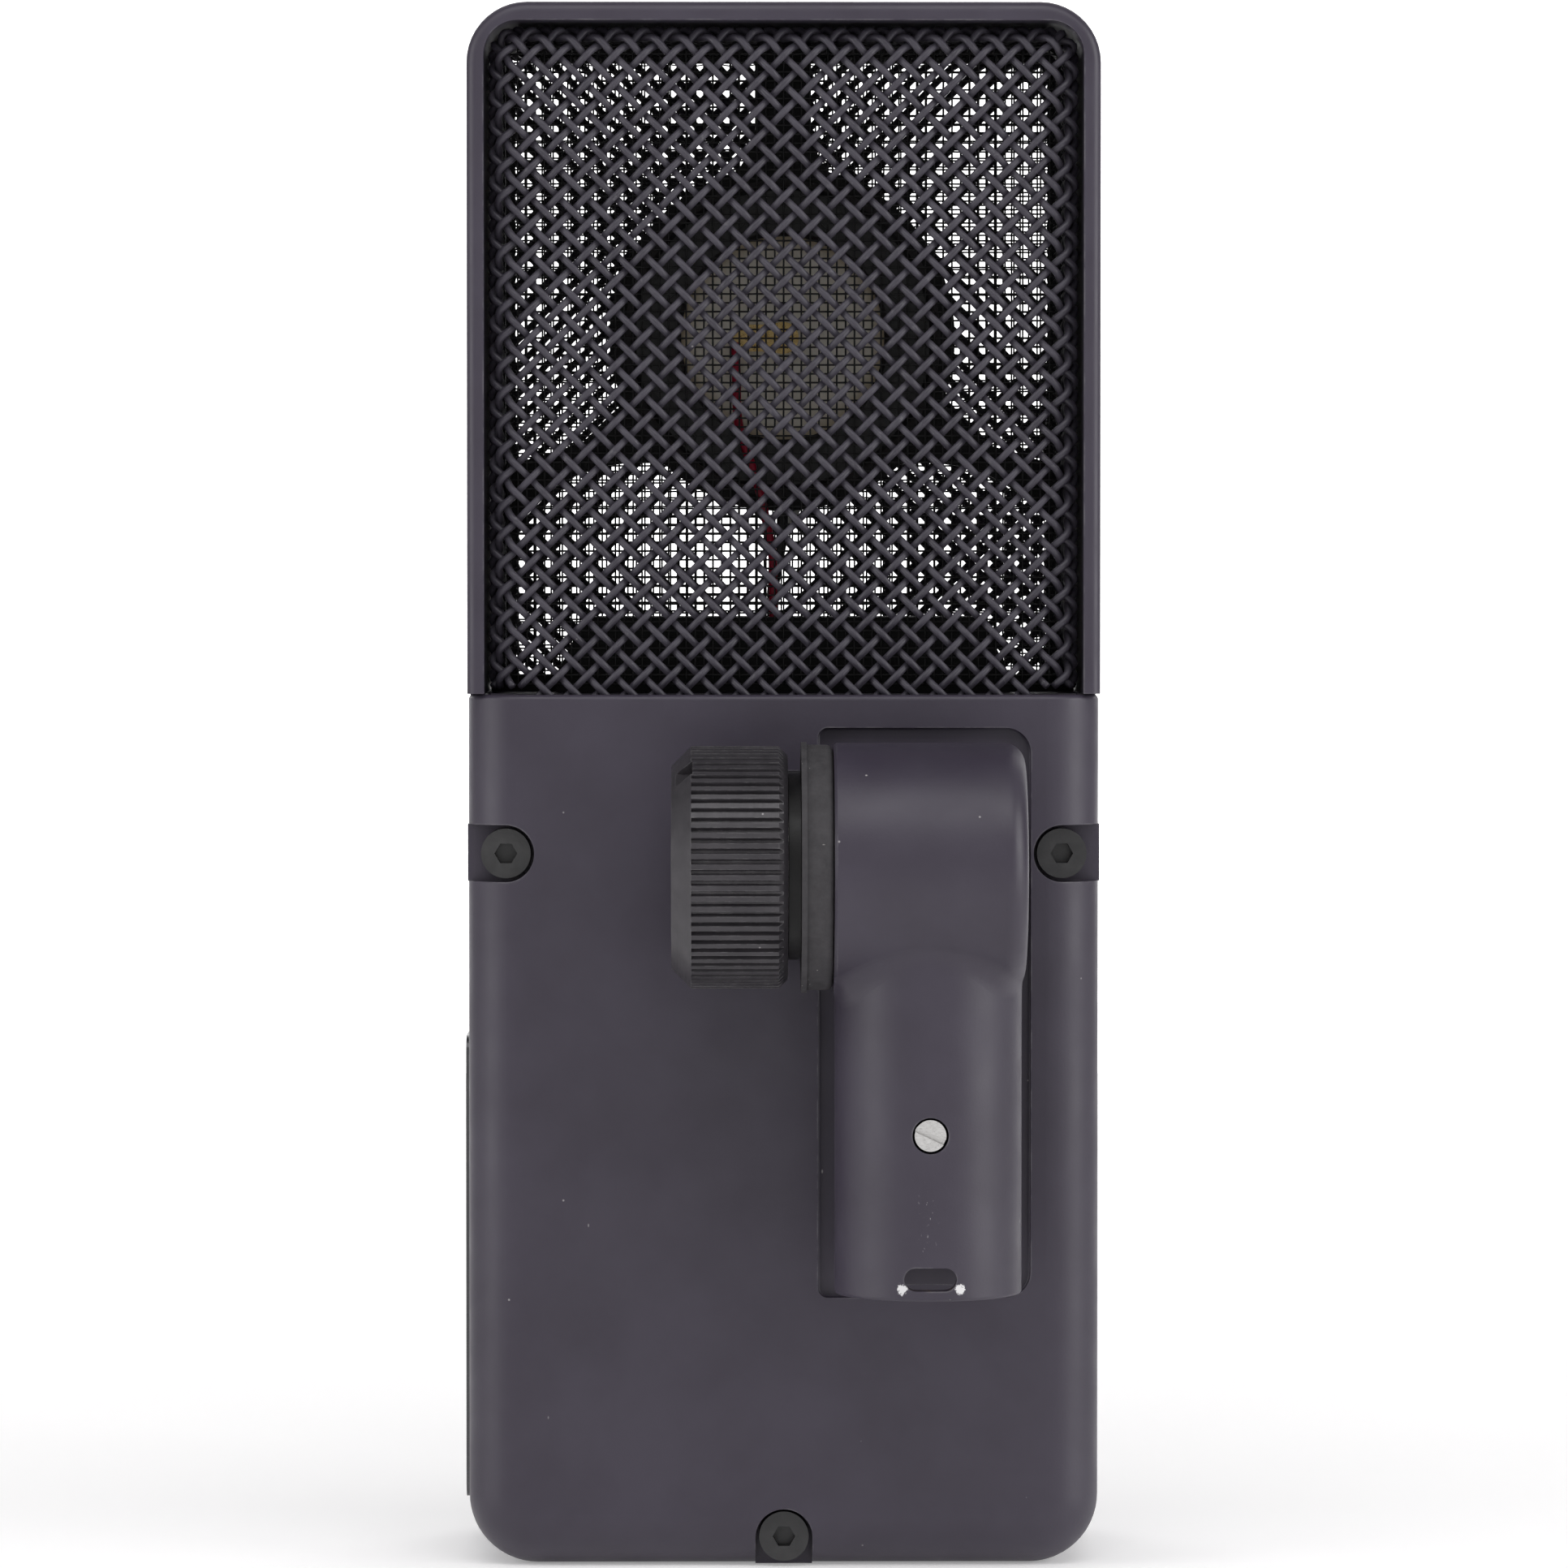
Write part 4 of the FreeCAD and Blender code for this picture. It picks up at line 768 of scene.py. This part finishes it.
def weaveWire(tray, family, count, verts, faces, flip):
    # one wire of the cloth: it rises and dips with each wire it crosses
    pitch = tray["pitch"]
    lean = tray["lean"] + family * math.pi / 2
    alongX, alongZ = math.cos(lean), math.sin(lean)
    shiftX, shiftZ = tray["shift"]
    originX = shiftX - alongZ * count * pitch
    originZ = shiftZ + alongX * count * pitch
    reach = int(tray["reach"] / pitch) * tray["points"]
    waves = 1 if family == 0 else -1
    run = []
    for step in range(-reach, reach + 1):
        along = step / tray["points"]
        across = originX + alongX * along * pitch
        up = originZ + alongZ * along * pitch
        point, normal, wall = foldPoint(tray, across, up)
        if insideCloth(tray, across, up, wall):
            turns = along + count if family == 0 else along - count
            rise = waves * tray["crimp"] * math.cos(math.pi * turns)
            run.append((point + normal * rise, normal))
            continue
        if len(run) > 2:
            addTube(verts, faces, run, tray["wire"], tray["sides"], flip)
        run = []
    if len(run) > 2:
        addTube(verts, faces, run, tray["wire"], tray["sides"], flip)


def wireCloth(name, tray, flip):
    verts, faces = [], []
    wires = int(tray["reach"] / tray["pitch"])
    for family in (0, 1):
        for count in range(-wires, wires + 1):
            weaveWire(tray, family, count, verts, faces, flip)
    mesh = bpy.data.meshes.new(name)
    mesh.from_pydata(verts, [], faces)
    mesh.validate()
    mesh.shade_smooth()
    piece = bpy.data.objects.new(name, mesh)
    bpy.context.scene.collection.objects.link(piece)
    return piece


def trayFrom(node, cloth):
    # the cloth's middle surface lies half its thickness inside the CAD tray's outer faces
    low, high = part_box(node)
    inset = cloth["crimp"] + cloth["wire"] + cloth["clear"]
    tray = dict(cloth)
    tray["face"] = low.y + inset
    tray["flatHalf"] = high.x - inset - cloth["edgeRadius"]
    tray["flatTop"] = high.z - inset - cloth["edgeRadius"]
    tray["wall"] = high.y - cloth["wire"] - tray["face"] - cloth["edgeRadius"]
    tray["tongueFoot"] = low.z + cloth["footClear"]
    tray["foot"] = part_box("rear_inner_mesh")[0].z + cloth["footClear"]
    return tray


coarseCloth = {
    "pitch": 0.0022,          # between neighbouring wires
    "wire": 0.00043,          # radius
    "crimp": 0.00043,
    "lean": math.pi / 4,
    "edgeRadius": 0.0025,
    "tongueHalf": 0.0275,
    "cornerWall": 0.0015,     # wires that fan out round a corner end early
    "clear": 0.00003,
    "footClear": 0.0003,
    "shift": (0.0, 0.1360),
    "reach": 0.085,
    "points": 4,              # along each pitch
    "sides": 6,
}

fineCloth = {
    "pitch": 0.00098,
    "wire": 0.0001,
    "crimp": 0.0001,
    "lean": 0.0,
    "edgeRadius": 0.0013,
    "tongueHalf": 0.0,
    "cornerWall": 0.0,
    "clear": 0.00001,
    "footClear": 0.0002,
    "shift": (0.0, 0.1360),
    "reach": 0.066,
    "points": 1,
    "sides": 4,
}

coarseTray = trayFrom("rear_grille", coarseCloth)
fineTray = trayFrom("rear_inner_mesh", fineCloth)
for side in ("rear", "front"):
    flip = side == "front"
    basket = wireCloth(side + "Basket", coarseTray, flip)
    basket.data.materials.append(finishes["grille_wire"])
    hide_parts(side + "_grille")
    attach(basket, "body")
    gauze = wireCloth(side + "Gauze", fineTray, flip)
    gauze.data.materials.append(finishes["fine_mesh"])
    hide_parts(side + "_inner_mesh")
    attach(gauze, "body")
    print(side, "cloth woven:", len(basket.data.polygons), "and", len(gauze.data.polygons), "faces")


# studio: pale floor, white backdrop, soft boxes

studio = {
    "floor": 3.0,
    "floorColour": rgb(0.86, 0.85, 0.855),
    "floorGlow": 0.25,
    "backdropY": 0.75,
    "backdropHalf": 0.6,
    "backdropHigh": 1.2,
    "backdropColour": rgb(0.9, 0.9, 0.9),
    "backdropGlow": 1.0,
    "sheetPatch": 0.3,
    "sheetShade": 0.98,
    "sheetRough": 0.9,
    "worldGrey": 0.13,
    "target": Vector((0.0, 0.0, 0.09)),
}

# place, width, height and power in watts of each box
softBoxes = {
    "leftBox": ((-0.85, -0.34, 0.26), 0.5, 0.9, 4.3),
    "rightBox": ((0.85, -0.34, 0.26), 0.5, 0.9, 5.8),
    "topBox": ((0.0, -0.45, 0.76), 0.9, 0.4, 3.2),
    "frontFill": ((0.0, -1.2, 0.42), 1.2, 0.8, 1.5),
}


def stageSheet(name, corners, colour, glow):
    mesh = bpy.data.meshes.new(name)
    mesh.from_pydata(corners, [], [(0, 1, 2, 3)])
    piece = bpy.data.objects.new(name, mesh)
    bpy.context.scene.collection.objects.link(piece)
    mat, shader = startMaterial(name)
    place = objectPlace(mat)
    tone = spread(mat, noise(mat, place, studio["sheetPatch"], 2.0), 0.3, 0.7)
    shade = rgb(*[studio["sheetShade"] * part for part in colour[:3]])
    linkTo(mat, mixColour(mat, tone, colour, shade), shader.inputs["Base Color"])
    shader.inputs["Roughness"].default_value = studio["sheetRough"]
    shader.inputs["Emission Color"].default_value = rgb(1.0, 1.0, 1.0)
    shader.inputs["Emission Strength"].default_value = glow
    mesh.materials.append(mat)
    return piece


def softBox(name, position, width, height, power):
    lamp = bpy.data.lights.new(name, "AREA")
    lamp.shape = "RECTANGLE"
    lamp.size = width
    lamp.size_y = height
    lamp.energy = power
    box = bpy.data.objects.new(name, lamp)
    box.location = position
    box.rotation_euler = (studio["target"] - Vector(position)).to_track_quat("-Z", "Y").to_euler()
    bpy.context.scene.collection.objects.link(box)
    return box


half = studio["floor"] / 2
back = studio["backdropY"]
stageSheet("floor", [(-half, -half, 0), (half, -half, 0), (half, half, 0), (-half, half, 0)],
           studio["floorColour"], studio["floorGlow"])
wide = studio["backdropHalf"]
high = studio["backdropHigh"]
stageSheet("backdrop", [(-wide, back, 0), (wide, back, 0), (wide, back, high), (-wide, back, high)],
           studio["backdropColour"], studio["backdropGlow"])
for boxName, (position, width, height, power) in softBoxes.items():
    softBox(boxName, position, width, height, power)

world = bpy.data.worlds.new("studioAir")
world.use_nodes = True
world.node_tree.nodes["Background"].inputs["Color"].default_value = rgb(1.0, 1.0, 1.0)
world.node_tree.nodes["Background"].inputs["Strength"].default_value = studio["worldGrey"]
bpy.context.scene.world = world

viewpoint = {
    "position": (-0.0070, -0.8200, 0.1118),
    "lookAt": (0.0, -0.0200, 0.0868),
    "lens": 166.7,
    "sensor": 36.0,
    "clipStart": 0.01,
}
cameraData = bpy.data.cameras.new("camera")
cameraData.lens = viewpoint["lens"]
cameraData.sensor_width = viewpoint["sensor"]
cameraData.clip_start = viewpoint["clipStart"]
camera = bpy.data.objects.new("camera", cameraData)
camera.location = viewpoint["position"]
toward = Vector(viewpoint["lookAt"]) - Vector(viewpoint["position"])
camera.rotation_euler = toward.to_track_quat("-Z", "Y").to_euler()
bpy.context.scene.collection.objects.link(camera)
bpy.context.scene.camera = camera
bpy.context.scene.view_settings.view_transform = "Standard"
print("studio lit")
